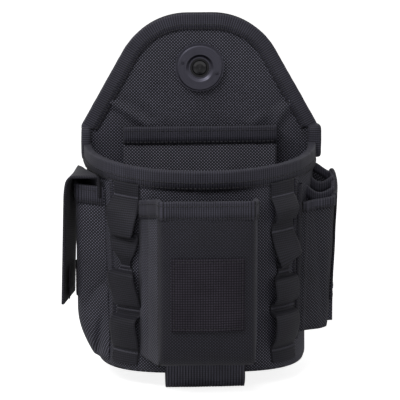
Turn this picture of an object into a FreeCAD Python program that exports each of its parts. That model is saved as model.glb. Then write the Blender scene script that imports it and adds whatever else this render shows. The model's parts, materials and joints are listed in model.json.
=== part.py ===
"""Electrician's tool pouch that hangs from a belt stud by a round hub in its back panel.

All sizes are in millimetres.  The pieces are drawn in the pouch's own coordinates: X to the right,
Y = 0 at the rear face of the back panel with the front of the pouch towards -Y, and Z = 0 at the
bottom of the bag.  One placement then moves every piece so that the origin is the centre of the
mouth of the hub's belt socket.
"""
import FreeCAD, Part
import math
import os
import Sketcher

Vector = FreeCAD.Vector
doc = FreeCAD.newDocument("tool_pouch")

# ---------------------------------------------------------------- driving dimensions
SIZES = [
    ("bottom_half_width", 79.0, "half width of the bag at its bottom edge"),
    ("bottom_depth", 90.0, "depth of the bag at its bottom edge"),
    ("bottom_squareness", 2.6, "squareness of the bag's outline up to the tuck: 2 is an ellipse"),
    ("tuck_height", 22.0, "height where the bag's rounded bottom meets its straight wall"),
    ("tuck_half_width", 84.5, "half width of the bag at that height"),
    ("tuck_depth", 96.0, "depth of the bag at that height"),
    ("rim_height", 170.0, "height of the bag's wall"),
    ("rim_half_width", 93.5, "half width of the bag at its rim"),
    ("rim_depth", 101.0, "depth of the bag at its rim"),
    ("rim_squareness", 2.1, "squareness of the bag's outline at its rim"),
    ("shoulder_height", 184.0, "height where the back panel is widest"),
    ("shoulder_half_width", 94.5, "half width of the back panel there"),
    ("crown_height", 276.5, "height of the back panel's crown"),
    ("crown_half_width", 10.0, "half width of the straight part of the crown"),
    ("crown_radius", 58.0, "radius of the two rounded corners of the crown"),
    ("fabric", 1.2, "thickness of the woven nylon"),
    ("back_board_thickness", 1.8, "thickness of the stiff board in the back"),
    ("wall_board_thickness", 1.5, "thickness of the stiff board in the bag's wall"),
    ("bottom_board_thickness", 2.0, "thickness of the board in the bottom"),
    ("layer_gap", 0.1, "gap between two layers that are sewn together"),
    ("tape", 0.9, "thickness of the binding tape"),
    ("back_tape_width", 11.0, "width of the back panel's binding on each face"),
    ("rim_tape_width", 13.5, "width of the rim binding on each face"),
    ("pocket_tape_width", 13.5, "width of the pockets' bindings on each face"),
    ("inner_pocket_half_width", 62.0, "half width of the pocket inside the bag"),
    ("inner_pocket_bottom", 74.0, "height of that pocket's bottom"),
    ("inner_pocket_top", 184.0, "height of that pocket's mouth"),
    ("inner_pocket_depth", 13.5, "depth of that pocket, outside"),
    ("front_pocket_bottom", 12.0, "height of the front pocket's bottom"),
    ("front_pocket_top", 147.0, "height of the front pocket's mouth"),
    ("front_pocket_front", 130.0, "distance of the front pocket's face from the back"),
    ("front_face_half_width", 37.5, "half width of the front pocket's face"),
    ("left_gusset_flare", 13.0, "spread of the left gusset between the face and the bag's middle"),
    ("right_gusset_flare", 3.0, "spread of the right gusset between the face and the bag's middle"),
    ("patch_width", 58.0, "width of the hook-and-loop patch"),
    ("patch_height", 57.0, "height of the hook-and-loop patch"),
    ("patch_low", 43.0, "height of the patch's lower edge"),
    ("patch_thickness", 1.8, "thickness of the patch"),
    ("ladder_angle", 40.0, "degrees round the bag's front from its middle to a ladder strap"),
    ("ladder_width", 25.0, "width of the ladder webbing"),
    ("ladder_tape", 1.4, "thickness of the ladder webbing"),
    ("ladder_low", 8.0, "height of the ladder strap's lower end"),
    ("ladder_bulge", 9.5, "how far a loop of the ladder stands off its base"),
    ("tack_height", 2.6, "height of a bar tack"),
    ("tack_thickness", 0.7, "thickness of a bar tack's thread"),
    ("seam_angle", 51.0, "degrees round the bag from its middle to the side seams"),
    ("seam_width", 3.0, "width of a seam's ridge"),
    ("seam_proud", 1.8, "how far a seam's ridge stands out"),
    ("pocket_front_angle", 56.0, "degrees round the bag to a side pocket's front edge"),
    ("pocket_back_angle", 80.0, "degrees round the bag to a side pocket's back edge"),
    ("side_pocket_front", 57.0, "distance of a side pocket's front corner from the back"),
    ("left_pocket_low", 4.0, "height of the left pocket's bottom"),
    ("left_pocket_knee", 42.0, "height where the left pocket's rounded bottom ends"),
    ("left_pocket_top", 146.0, "height of the left pocket's mouth"),
    ("left_pocket_foot_reach", 85.0, "reach of the left pocket from the middle at its bottom"),
    ("left_pocket_reach", 102.0, "reach of the left pocket from the middle at its mouth"),
    ("right_pocket_low", 28.0, "height of the right pocket's bottom"),
    ("right_pocket_front_top", 138.0, "height of the right pocket's front lip"),
    ("right_pocket_back_top", 157.0, "height of the right pocket's back lip"),
    ("right_pocket_foot_reach", 102.0, "reach of the right pocket from the middle at its bottom"),
    ("right_pocket_reach", 108.0, "reach of the right pocket from the middle at its mouth"),
    ("side_band_low", 47.0, "height of the lower end of the webbing on the right pocket"),
    ("side_band_width", 30.0, "width of the webbing on the right pocket"),
    ("flap_width", 44.0, "width of the left pocket's flap"),
    ("flap_thickness", 2.0, "thickness of the flap's webbing"),
    ("flap_fold_radius", 12.0, "outer radius of the bend between the flap's roof and its leg"),
    ("flap_reach", 110.0, "reach of the flap's leg from the middle"),
    ("flap_low", 46.0, "height of the flap's lower end"),
    ("flap_hinge_height", 153.2, "height of the flap's fold line"),
    ("flap_hinge_clearance", 2.7, "distance of the fold line from the bag's wall"),
    ("flap_hinge_gap", 0.15, "half the gap between the flap and its sewn end at the fold line"),
    ("flap_anchor_height", 16.0, "height of the flap's sewn end"),
    ("touch_tape_margin", 2.0, "distance of the hook tape from the flap's edges"),
    ("flap_front", 63.0, "distance of the flap's front edge from the back"),
    ("hook_tape_height", 30.0, "height of the flap's hook tape"),
    ("hook_tape_thickness", 1.2, "thickness of the hook tape and of the loop tape"),
    ("loop_width", 60.0, "width of the webbing loop under the bag"),
    ("loop_thickness", 2.4, "thickness of that webbing"),
    ("loop_top", 10.0, "height of the loop's sewn front end"),
    ("loop_radius", 11.0, "outer radius of the loop's fold"),
    ("loop_drop", 3.0, "height of the middle of the loop's fold below the bag"),
    ("tab_height", 27.0, "height of the tape tabs on the bag's corners"),
    ("tab_depth", 13.0, "depth of those tabs"),
    ("tab_thickness", 2.4, "thickness of those tabs"),
    ("hub_height", 232.0, "height of the hub's axis"),
    ("hub_ring_radius", 18.5, "outer radius of the hub's front ring"),
    ("hub_ring_thickness", 5.0, "thickness of the front ring"),
    ("hub_mouth_radius", 11.2, "radius of the front ring's opening"),
    ("hub_lip_radius", 9.0, "radius of the lip inside that opening"),
    ("hub_lip_depth", 2.4, "depth of the lip below the ring's front"),
    ("hub_lip_thickness", 0.5, "thickness of that lip at its edge"),
    ("hub_edge", 0.9, "chamfer round the front ring"),
    ("spanner_hole_radius", 1.4, "radius of the two spanner holes"),
    ("spanner_circle_radius", 14.6, "radius of the circle that they lie on"),
    ("spanner_hole_depth", 2.5, "depth of the spanner holes"),
    ("spanner_angle", 162.0, "degrees from +X to the first spanner hole"),
    ("barrel_radius", 10.0, "outer radius of the hub's barrel"),
    ("barrel_fit", 0.05, "gap between the barrel and what it passes through"),
    ("rear_flange_radius", 21.0, "radius of the hub's rear flange"),
    ("rear_flange_thickness", 3.0, "thickness of the rear flange"),
    ("socket_radius", 5.0, "radius of the belt stud's socket"),
    ("socket_depth", 4.6, "depth of the socket"),
    ("web_thickness", 1.0, "thickness of the wall between the socket and the button"),
    ("chamber_radius", 7.8, "radius of the button's chamber"),
    ("button_radius", 6.0, "radius of the button's head"),
    ("button_collar_radius", 7.6, "radius of the button's collar"),
    ("button_collar", 1.0, "thickness of the button's collar"),
    ("button_travel", 1.6, "travel of the button"),
    ("button_stem_radius", 2.4, "radius of the button's stem"),
    ("button_play", 0.15, "running gap round the button"),
    ("bush_thickness", 1.4, "thickness of the bush that holds the button in"),
    ("spring_wire", 0.6, "thickness of the button spring's wire"),
    ("spring_radius", 5.4, "mean radius of the button's spring"),
    ("spring_turns", 2.0, "turns of the button's spring"),
    ("washer_radius", 20.0, "outer radius of the washer behind the front ring"),
    ("washer_thickness", 0.8, "thickness of that washer"),
]

sheet = doc.addObject("Spreadsheet::Sheet", "sizes")
for row, (alias, millimetres, meaning) in enumerate(SIZES, start=1):
    sheet.set(f"A{row}", meaning)
    sheet.set(f"B{row}", str(millimetres))
    sheet.setAlias(f"B{row}", alias)
doc.recompute()


class Size:
    """A length with its value and the sheet formula that gives it."""

    def __init__(self, value, formula):
        self.value = value
        self.formula = formula

    def __float__(self):
        return float(self.value)

    def __add__(self, other):
        return joined(self, "+", other, float(self) + float(other))

    def __radd__(self, other):
        return joined(other, "+", self, float(other) + float(self))

    def __sub__(self, other):
        return joined(self, "-", other, float(self) - float(other))

    def __rsub__(self, other):
        return joined(other, "-", self, float(other) - float(self))

    def __mul__(self, other):
        return joined(self, "*", other, float(self) * float(other))

    def __rmul__(self, other):
        return joined(other, "*", self, float(other) * float(self))

    def __truediv__(self, other):
        return joined(self, "/", other, float(self) / float(other))

    def __neg__(self):
        return joined(0.0, "-", self, -float(self))


def formula_of(size):
    """The sheet formula of a size, or the number itself."""
    return size.formula if isinstance(size, Size) else repr(float(size))


def joined(left, sign, right, value):
    """A size worked out from two others."""
    return Size(value, f"({formula_of(left)} {sign} {formula_of(right)})")


def size(alias):
    """One driving dimension."""
    return Size(float(sheet.get(alias)), f"sizes.{alias}")


def bind(thing, name, length):
    """Ties one property of a document object to the sheet."""
    thing.setExpression(name, formula_of(length))


# Layers of the back panel, from its rear face to the front.
FABRIC = size("fabric")
GAP = size("layer_gap")
TAPE = size("tape")
BOARD_REAR = FABRIC + GAP
BOARD_FRONT = BOARD_REAR + size("back_board_thickness")
FRONT_SHEET_REAR = BOARD_FRONT + GAP
BACK = FRONT_SHEET_REAR + FABRIC
BAG_REAR = BACK + GAP

# Layers of the bag's wall, from its outer face inwards.
WALL_BOARD_OUT = FABRIC + GAP
WALL_BOARD_IN = WALL_BOARD_OUT + size("wall_board_thickness")
LINING_OUT = WALL_BOARD_IN + GAP
WALL = LINING_OUT + FABRIC

RIM = size("rim_height")
RIM_HALF = size("rim_half_width")
HUB_HEIGHT = size("hub_height")
OFFSET_Y = -size("rear_flange_thickness")
ZERO = Size(0.0, "0")

# How far a cutting tool reaches past the piece that it cuts.
MARGIN = 1.0

subparts = []


def place(thing, drop=HUB_HEIGHT):
    """Moves a piece from the pouch's coordinates, or from the hub's own, to the row's frame."""
    bind(thing, "Placement.Base.y", OFFSET_Y)
    bind(thing, "Placement.Base.z", -drop)


def solids_of(shape):
    """The shape as one solid, or as a compound of its solids."""
    solids = shape.removeSplitter().Solids
    return solids[0] if len(solids) == 1 else Part.makeCompound(solids)


def sewn(label, shape):
    """A soft or formed piece whose shape comes from the functions below."""
    piece = doc.addObject("Part::Feature", label)
    piece.Shape = solids_of(shape)
    piece.Placement = FreeCAD.Placement()
    piece.Label = label
    place(piece)
    subparts.append(piece)
    return piece


def new_body(label, drop=HUB_HEIGHT):
    """An empty PartDesign body that becomes one sub-part."""
    body = doc.addObject("PartDesign::Body", label)
    body.Label = label
    place(body, drop)
    subparts.append(body)
    return body


def new_sketch(body, name, role):
    """A sketch on one of the body's origin planes."""
    sketch = body.newObject("Sketcher::SketchObject", name)
    plane = [f for f in body.Origin.OriginFeatures if f.Role == role][0]
    sketch.AttachmentSupport = (plane, "")
    sketch.MapMode = "FlatFace"
    return sketch


def hold(sketch, geometry, point, x, y):
    """Fixes one point of a sketch at sizes from the sheet."""
    for kind, length in (("DistanceX", x), ("DistanceY", y)):
        row = sketch.addConstraint(Sketcher.Constraint(kind, -1, 1, geometry, point, float(length)))
        bind(sketch, f"Constraints[{row}]", length)


def draw_outline(sketch, corners):
    """A closed outline of straight lines through corners given as pairs of sizes."""
    first = sketch.GeometryCount
    count = len(corners)
    for index, (x, y) in enumerate(corners):
        next_x, next_y = corners[(index + 1) % count]
        start = Vector(float(x), float(y), 0)
        end = Vector(float(next_x), float(next_y), 0)
        sketch.addGeometry(Part.LineSegment(start, end))
    for index, (x, y) in enumerate(corners):
        line = first + index
        previous = first + (index - 1) % count
        sketch.addConstraint(Sketcher.Constraint("Coincident", previous, 2, line, 1))
        hold(sketch, line, 1, x, y)


def draw_circle(sketch, x, y, radius):
    """A full circle, its centre and radius tied to the sheet."""
    circle = sketch.addGeometry(
        Part.Circle(Vector(float(x), float(y), 0), Vector(0, 0, 1), float(radius))
    )
    hold(sketch, circle, 3, x, y)
    row = sketch.addConstraint(Sketcher.Constraint("Radius", circle, float(radius)))
    bind(sketch, f"Constraints[{row}]", radius)


def box(label, low, high):
    """A block between two corners, each a triple of sizes."""
    block = doc.addObject("Part::Box", label)
    for name, start, end in zip(("Length", "Width", "Height"), low, high):
        bind(block, name, end - start)
    for name, start in zip("xyz", low):
        bind(block, f"Placement.Base.{name}", start)
    return block


def cut(label, base, tool):
    """One document object less another, as a sub-part."""
    piece = doc.addObject("Part::Cut", label)
    piece.Base = base
    piece.Tool = tool
    piece.Label = label
    place(piece)
    subparts.append(piece)
    return piece


# ---------------------------------------------------------------- the back panel
def crown_touch(grow=0.0):
    """Where the back panel's slanting edge leaves its shoulder and meets the round corner."""
    radius = float(size("crown_radius"))
    centre = Vector(float(size("crown_half_width")), float(size("crown_height")) - radius, 0)
    shoulder = Vector(float(size("shoulder_half_width")), float(size("shoulder_height")), 0)
    to_centre = centre - shoulder
    slant = math.atan2(to_centre.y, to_centre.x) - math.asin(radius / to_centre.Length)
    outward = Vector(math.sin(slant), -math.cos(slant), 0)
    return shoulder + outward * grow, centre + outward * (radius + grow), centre, radius + grow


def half_arc_end(centre, touch, radius):
    """The middle of the round corner between its slanting edge and the crown."""
    start = math.atan2(touch.y - centre.y, touch.x - centre.x)
    middle = (start + math.pi / 2) / 2
    return centre + Vector(math.cos(middle), math.sin(middle), 0) * radius


def draw_back_outline(sketch):
    """The bell-shaped outline of the back panel, with its crown's corners tangent to its edges."""
    shoulder, touch, centre, radius = crown_touch()
    crown = size("crown_height")
    right = [
        (size("bottom_half_width"), ZERO),
        (size("tuck_half_width"), size("tuck_height")),
        (size("rim_half_width"), RIM),
        (size("shoulder_half_width"), size("shoulder_height")),
    ]
    left = [(-x, y) for x, y in reversed(right)]
    points = [Vector(float(x), float(y), 0) for x, y in right]
    mirrored = [Vector(float(x), float(y), 0) for x, y in left]
    top = Vector(centre.x, centre.y + radius, 0)
    lines = [Part.LineSegment(a, b) for a, b in zip(points, points[1:])]
    lines.append(Part.LineSegment(points[-1], touch))
    right_slant = len(lines) - 1
    lines.append(
        Part.ArcOfCircle(
            Part.Circle(centre, Vector(0, 0, 1), radius),
            math.atan2(touch.y - centre.y, touch.x - centre.x),
            math.pi / 2,
        )
    )
    lines.append(Part.LineSegment(top, Vector(-top.x, top.y, 0)))
    flipped = Vector(-centre.x, centre.y, 0)
    lines.append(
        Part.ArcOfCircle(
            Part.Circle(flipped, Vector(0, 0, 1), radius),
            math.pi / 2,
            math.pi - math.atan2(touch.y - centre.y, touch.x - centre.x),
        )
    )
    lines.append(Part.LineSegment(Vector(-touch.x, touch.y, 0), mirrored[0]))
    left_slant = len(lines) - 1
    lines += [Part.LineSegment(a, b) for a, b in zip(mirrored, mirrored[1:])]
    lines.append(Part.LineSegment(mirrored[-1], points[0]))
    for line in lines:
        sketch.addGeometry(line)
    last = len(lines) - 1
    for index in range(right_slant):
        sketch.addConstraint(Sketcher.Constraint("Coincident", index, 2, index + 1, 1))
    arc, crown_line, other_arc = right_slant + 1, right_slant + 2, right_slant + 3
    sketch.addConstraint(Sketcher.Constraint("Tangent", right_slant, 2, arc, 1))
    sketch.addConstraint(Sketcher.Constraint("Tangent", crown_line, 1, arc, 2))
    sketch.addConstraint(Sketcher.Constraint("Tangent", crown_line, 2, other_arc, 1))
    sketch.addConstraint(Sketcher.Constraint("Tangent", left_slant, 1, other_arc, 2))
    for index in range(left_slant, last):
        sketch.addConstraint(Sketcher.Constraint("Coincident", index, 2, index + 1, 1))
    sketch.addConstraint(Sketcher.Constraint("Coincident", last, 2, 0, 1))
    for index, (x, y) in enumerate(right):
        hold(sketch, index, 1, x, y)
    for index, (x, y) in enumerate(left):
        hold(sketch, left_slant + 1 + index, 1, x, y)
    for index, side in ((arc, 1), (other_arc, -1)):
        hold(sketch, index, 3, side * size("crown_half_width"), crown - size("crown_radius"))
    row = sketch.addConstraint(Sketcher.Constraint("Radius", arc, radius))
    bind(sketch, f"Constraints[{row}]", size("crown_radius"))


def back_layer(label, rear, front):
    """One full-size layer of the back panel, with the hole for the hub's barrel."""
    body = new_body(label)
    outline = new_sketch(body, f"{label}_outline", "XZ_Plane")
    bind(outline, "AttachmentOffset.Base.z", rear)
    draw_back_outline(outline)
    hole = size("barrel_radius") + size("barrel_fit")
    draw_circle(outline, ZERO, HUB_HEIGHT, hole)
    pad = body.newObject("PartDesign::Pad", f"{label}_pad")
    pad.Profile = outline
    bind(pad, "Length", front - rear)
    body.Tip = pad


back_layer("back_panel_rear", ZERO, FABRIC)
back_layer("back_board", BOARD_REAR, BOARD_FRONT)
back_layer("back_panel_front", FRONT_SHEET_REAR, BACK)


def bell(grow, low, rear, front):
    """The back panel's outline above a height, grown outwards, as a solid between two depths."""
    shoulder, touch, centre, radius = crown_touch(grow)
    middle = half_arc_end(centre, touch, radius)
    right = [Vector(shoulder.x, low, 0), shoulder, touch]
    mirrored = [Vector(-p.x, p.y, 0) for p in reversed(right)]
    top = Vector(centre.x, centre.y + radius, 0)
    edges = [Part.LineSegment(a, b).toShape() for a, b in zip(right, right[1:])]
    edges.append(Part.Arc(touch, middle, top).toShape())
    edges.append(Part.LineSegment(top, Vector(-top.x, top.y, 0)).toShape())
    flipped = [Vector(-p.x, p.y, 0) for p in (top, middle, touch)]
    edges.append(Part.Arc(*flipped).toShape())
    edges += [Part.LineSegment(a, b).toShape() for a, b in zip(mirrored, mirrored[1:])]
    edges.append(Part.LineSegment(mirrored[-1], right[0]).toShape())
    face = Part.Face(Part.Wire(edges))
    face.rotate(Vector(0, 0, 0), Vector(1, 0, 0), 90)
    face.translate(Vector(0, -rear, 0))
    return face.extrude(Vector(0, rear - front, 0))


def back_binding():
    """The tape folded over the edge of all the back panel's layers, above the shoulders."""
    low = float(size("shoulder_height"))
    tape = float(TAPE)
    gap = float(GAP)
    folded = bell(tape + gap, low, -tape - gap, float(BACK) + tape + gap)
    layers = bell(gap, low - tape, -gap, float(BACK) + gap)
    open_middle = bell(-float(size("back_tape_width")), low - tape, -2 * tape, 2 * float(BACK))
    return folded.cut(layers).cut(open_middle)


sewn("back_binding", back_binding())


# ---------------------------------------------------------------- the bag
def wall_sizes(height):
    """Half width, depth and squareness of the bag's outer face at a height."""
    tuck, rim = float(size("tuck_height")), float(RIM)
    low = [float(size(f"bottom_{name}")) for name in ("half_width", "depth", "squareness")]
    middle = [float(size("tuck_half_width")), float(size("tuck_depth")), low[2]]
    high = [float(size(f"rim_{name}")) for name in ("half_width", "depth", "squareness")]
    start, end, below, above = (0.0, tuck, low, middle) if height < tuck else (tuck, rim, middle, high)
    share = (height - start) / (end - start)
    width, depth, squareness = [a + share * (b - a) for a, b in zip(below, above)]
    return width, depth - float(BAG_REAR), squareness


def on_wall(degrees, height, grow=0.0):
    """A point of the bag's outer face: 0 degrees is the middle of its front, + to the right."""
    width, depth, squareness = wall_sizes(height)
    turn = math.radians(degrees)
    across, ahead = math.sin(turn), max(0.0, math.cos(turn))
    x = (width + grow) * math.copysign(abs(across) ** (2 / squareness), across)
    y = -float(BAG_REAR) - (depth + grow) * ahead ** (2 / squareness)
    return Vector(x, y, height)


OUTLINE_STEP = 10


def bag_outline(height, grow):
    """The rounded outline of the bag at a height, closed along the back panel."""
    points = [on_wall(degrees, height, grow) for degrees in range(-90, 91, OUTLINE_STEP)]
    curve = Part.BSplineCurve()
    curve.interpolate(points)
    return Part.Wire([curve.toShape(), Part.LineSegment(points[-1], points[0]).toShape()])


def lofted(outline_at, grow, low, high, knees):
    """A solid whose outline changes evenly between the heights where it bends."""
    levels = [low] + [knee for knee in knees if low < knee < high] + [high]
    stages = [
        Part.makeLoft([outline_at(start, grow), outline_at(end, grow)], True, True)
        for start, end in zip(levels, levels[1:])
    ]
    return stages[0].fuse(stages[1:]) if len(stages) > 1 else stages[0]


def bag_form(grow, low, high):
    """The whole bag as one solid, grown outwards."""
    return lofted(bag_outline, grow, low, high, [float(size("tuck_height"))])


def wall_layer(label, outer, inner):
    """One layer of the bag's wall, between two distances inside its outer face."""
    rim = float(RIM)
    layer = bag_form(-float(outer), 0.0, rim)
    sewn(label, layer.cut(bag_form(-float(inner), -MARGIN, rim + MARGIN)))


wall_layer("bag_wall", ZERO, FABRIC)
wall_layer("bag_wall_board", WALL_BOARD_OUT, WALL_BOARD_IN)
wall_layer("bag_wall_lining", LINING_OUT, WALL)


def bottom_layer(label, grow, low, high):
    """One layer of the bag's bottom."""
    sewn(label, lofted(bag_outline_at_foot, grow, float(low), float(high), []))


def bag_outline_at_foot(height, grow):
    """The bag's bottom outline, moved to a height."""
    outline = bag_outline(0.0, grow)
    outline.translate(Vector(0, 0, height))
    return outline


BOTTOM_FLOOR = GAP + size("bottom_board_thickness")
bottom_layer("bottom_panel", 0.0, -FABRIC - GAP, -GAP)
bottom_layer("bottom_board", -float(WALL + GAP), GAP, BOTTOM_FLOOR)
bottom_layer("bottom_lining", -float(WALL + GAP), BOTTOM_FLOOR + GAP, BOTTOM_FLOOR + GAP + FABRIC)


def block_below(height):
    """Everything under a height, to cut a folded tape to its width."""
    reach = 2 * float(size("crown_height"))
    return Part.makeBox(2 * reach, 2 * reach, reach, Vector(-reach, -reach, height - reach))


def lip_tape(form, thickness, top, width):
    """Tape folded over the top edge of a wall, on both its faces."""
    gap = float(GAP)
    over = float(TAPE) + gap
    hollow = form(-thickness - over, top + over + MARGIN)
    wall = form(gap, top + gap).cut(form(-thickness - gap, top + over + MARGIN))
    return form(over, top + over).cut(hollow).cut(wall).cut(block_below(top - width))


rim_tape_width = float(size("rim_tape_width"))
RIM_TAPE_LOW = float(RIM) - rim_tape_width


def bag_up_to(grow, high):
    """The whole bag, grown outwards, up to a height."""
    return bag_form(grow, 0.0, high)


def rim_tape_room():
    """The space inside the rim binding's outer face, with a layer gap round it."""
    room = bag_up_to(float(TAPE) + 2 * float(GAP), float(RIM))
    return room.cut(block_below(RIM_TAPE_LOW - float(GAP)))


sewn("rim_binding", lip_tape(bag_up_to, float(WALL), float(RIM), rim_tape_width))


def wall_placement(degrees, low, high):
    """A frame on the bag's wall: X along it, Z up it, Y into it."""
    start = on_wall(degrees, low)
    up = (on_wall(degrees, high) - start).normalize()
    ahead = on_wall(degrees + 1.0, low) - on_wall(degrees - 1.0, low)
    along = (ahead - up * ahead.dot(up)).normalize()
    return FreeCAD.Placement(start, FreeCAD.Rotation(along, up.cross(along), up, "XZY"))


def on_wall_block(placement, width, inner, outer, low, high):
    """A block on the wall, between two distances outside it."""
    block = Part.makeBox(width, outer - inner, high - low, Vector(-width / 2, -outer, low))
    return block.transformShape(placement.toMatrix(), True)


def seam(label, side):
    """The bound ridge where the bag's front panel meets its side panel."""
    low = float(size("tuck_height"))
    high = RIM_TAPE_LOW
    place_on_wall = wall_placement(side * float(size("seam_angle")), low, high)
    gap = float(GAP)
    proud = float(size("seam_proud"))
    sewn(label, on_wall_block(place_on_wall, float(size("seam_width")), gap, proud, 0.0, high - low))


seam("left_seam", -1)
seam("right_seam", 1)


# ---------------------------------------------------------------- the pocket inside the bag
def inner_pocket():
    """A flat pocket on the back panel's front, and the tape on its lip."""
    half = size("inner_pocket_half_width")
    low = size("inner_pocket_bottom")
    top = size("inner_pocket_top")
    front = BAG_REAR + size("inner_pocket_depth")
    outer = box("inner_pocket_outside", (-half, -front, low), (half, -BAG_REAR, top))
    hollow = box(
        "inner_pocket_hollow",
        (FABRIC - half, FABRIC - front, low + FABRIC),
        (half - FABRIC, FABRIC - BAG_REAR, top + FABRIC),
    )
    cut("inner_pocket", outer, hollow)
    over = TAPE + GAP
    folded = box(
        "inner_pocket_tape",
        (-half, -front - over, top - size("pocket_tape_width")),
        (half, FABRIC + over - front, top + over),
    )
    lip = box(
        "inner_pocket_lip",
        (-half - over, -front - GAP, low),
        (half + over, FABRIC + GAP - front, top + GAP),
    )
    sides = doc.addObject("Part::MultiFuse", "inner_pocket_keep_out")
    flank = [
        box(
            f"inner_pocket_flank_{index}",
            (start, -front - GAP, low),
            (end, -BAG_REAR, top + GAP),
        )
        for index, (start, end) in enumerate(
            ((-half - over, FABRIC + GAP - half), (half - FABRIC - GAP, half + over))
        )
    ]
    sides.Shapes = [lip] + flank
    cut("inner_pocket_binding", folded, sides)


inner_pocket()


# ---------------------------------------------------------------- the front pocket
FACE_HALF = size("front_face_half_width")
FACE_FRONT = size("front_pocket_front")
FRONT_LOW = size("front_pocket_bottom")
FRONT_TOP = size("front_pocket_top")


def front_pocket_outline(height, grow):
    """Plan of the front pocket: its two gussets spread towards the bag."""
    half = float(FACE_HALF)
    front = -float(FACE_FRONT)
    root = -float(BAG_REAR)
    share = (root - front) / (-float(size("rim_depth")) / 2 - front)
    left = half + float(size("left_gusset_flare")) * share
    right = half + float(size("right_gusset_flare")) * share
    corners = [(-left, root), (-half, front), (half, front), (right, root)]
    wire = Part.makePolygon([Vector(x, y, height) for x, y in corners + corners[:1]])
    return wire.makeOffset2D(grow) if grow else wire


def front_pocket_gusset():
    """The strip that joins the pocket's face to the bag at both sides and underneath."""
    low, top, fabric = float(FRONT_LOW), float(FRONT_TOP), float(FABRIC)
    shell = lofted(front_pocket_outline, 0.0, low, top, [])
    shell = shell.cut(lofted(front_pocket_outline, -fabric, low + fabric, top + MARGIN, []))
    depth = float(FACE_FRONT) - fabric - float(GAP)
    reach = float(size("rim_half_width"))
    face = Part.makeBox(2 * reach, fabric * 2, top, Vector(-reach, -depth - fabric * 2, 0))
    return shell.cut(face).cut(bag_form(float(GAP), -MARGIN, float(RIM)))


sewn("front_pocket_gusset", front_pocket_gusset())


def plate(label, low, high, rear, front):
    """A flat rectangular piece that faces the front, between two depths behind the front."""
    body = new_body(label)
    outline = new_sketch(body, f"{label}_outline", "XZ_Plane")
    bind(outline, "AttachmentOffset.Base.z", rear)
    (left, bottom), (right, top) = low, high
    draw_outline(outline, [(left, bottom), (right, bottom), (right, top), (left, top)])
    pad = body.newObject("PartDesign::Pad", f"{label}_pad")
    pad.Profile = outline
    bind(pad, "Length", front - rear)
    body.Tip = pad


plate("front_pocket_face", (-FACE_HALF, FRONT_LOW), (FACE_HALF, FRONT_TOP), FACE_FRONT - FABRIC, FACE_FRONT)
half_patch = size("patch_width") / 2
plate(
    "front_patch",
    (-half_patch, size("patch_low")),
    (half_patch, size("patch_low") + size("patch_height")),
    FACE_FRONT + GAP,
    FACE_FRONT + GAP + size("patch_thickness"),
)


def front_pocket_binding():
    """The tape on the front pocket's lip."""
    over = TAPE + GAP
    folded = box(
        "front_pocket_tape",
        (-FACE_HALF - over, -FACE_FRONT - over, FRONT_TOP - size("pocket_tape_width")),
        (FACE_HALF + over, FABRIC + over - FACE_FRONT, FRONT_TOP + over),
    )
    lip = box(
        "front_pocket_lip",
        (-FACE_HALF - over * 2, -FACE_FRONT - GAP, FRONT_LOW),
        (FACE_HALF + over * 2, FABRIC + GAP - FACE_FRONT, FRONT_TOP + GAP),
    )
    shell = doc.addObject("Part::Feature", "front_pocket_gusset_room")
    fabric, gap = float(FABRIC), float(GAP)
    room = lofted(front_pocket_outline, gap, 0.0, float(FRONT_TOP) + gap, [])
    above = float(FRONT_TOP) + MARGIN
    shell.Shape = room.cut(lofted(front_pocket_outline, -fabric - gap, -MARGIN, above, []))
    keep_out = doc.addObject("Part::MultiFuse", "front_pocket_keep_out")
    keep_out.Shapes = [lip, shell]
    cut("front_pocket_binding", folded, keep_out)


front_pocket_binding()


# ---------------------------------------------------------------- the side pockets
def side_pocket_corner(height):
    """Y of a side pocket's front corner, which comes back as the bag's wall does."""
    return -float(size("side_pocket_front")) * wall_sizes(height)[1] / wall_sizes(float(RIM))[1]


def side_pocket_outline(side, reach_at):
    """Plan of a side pocket: it stands on the bag's side wall and reaches outwards."""
    inside = -3.0 * float(WALL)

    def outline(height, grow):
        back = on_wall(side * float(size("pocket_back_angle")), height, inside)
        seam_point = on_wall(side * float(size("pocket_front_angle")), height)
        root = on_wall(side * float(size("pocket_front_angle")), height, inside)
        reach = side * reach_at(height)
        front = side_pocket_corner(height)
        corners = [back, Vector(reach, back.y, height), Vector(reach, front, height), seam_point, root]
        wire = Part.makePolygon(corners + corners[:1])
        return wire.makeOffset2D(grow) if grow else wire

    return outline


def between(height, points):
    """A value that changes evenly between (height, value) points."""
    for (low, start), (high, end) in zip(points, points[1:]):
        if height <= high or high == points[-1][0]:
            return start + (height - low) / (high - low) * (end - start)


def left_reach(height):
    """How far the left pocket reaches from the pouch's middle at a height."""
    knee, knee_reach = float(size("left_pocket_knee")), float(size("left_pocket_reach")) - 1.0
    return between(
        height,
        [
            (float(size("left_pocket_low")), float(size("left_pocket_foot_reach"))),
            (knee, knee_reach),
            (float(size("left_pocket_top")), float(size("left_pocket_reach"))),
        ],
    )


def right_reach(height):
    """How far the right pocket reaches from the pouch's middle at a height."""
    foot = (float(size("right_pocket_low")), float(size("right_pocket_foot_reach")))
    return between(height, [foot, (float(size("right_pocket_back_top")), float(size("right_pocket_reach")))])


left_outline = side_pocket_outline(-1, left_reach)
right_outline = side_pocket_outline(1, right_reach)
LEFT_KNEES = [float(size("left_pocket_knee")), float(size("tuck_height"))]
LEFT_KNEES.sort()


def pocket_shell(outline, knees, low, top):
    """A pocket's walls and floor, open at the top, sewn to the bag's side."""
    fabric = float(FABRIC)
    shell = lofted(outline, 0.0, low, top, knees)
    shell = shell.cut(lofted(outline, -fabric, low + fabric, top + MARGIN, knees))
    return shell.cut(bag_form(float(GAP), -MARGIN, float(RIM))).cut(rim_tape_room())


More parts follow.
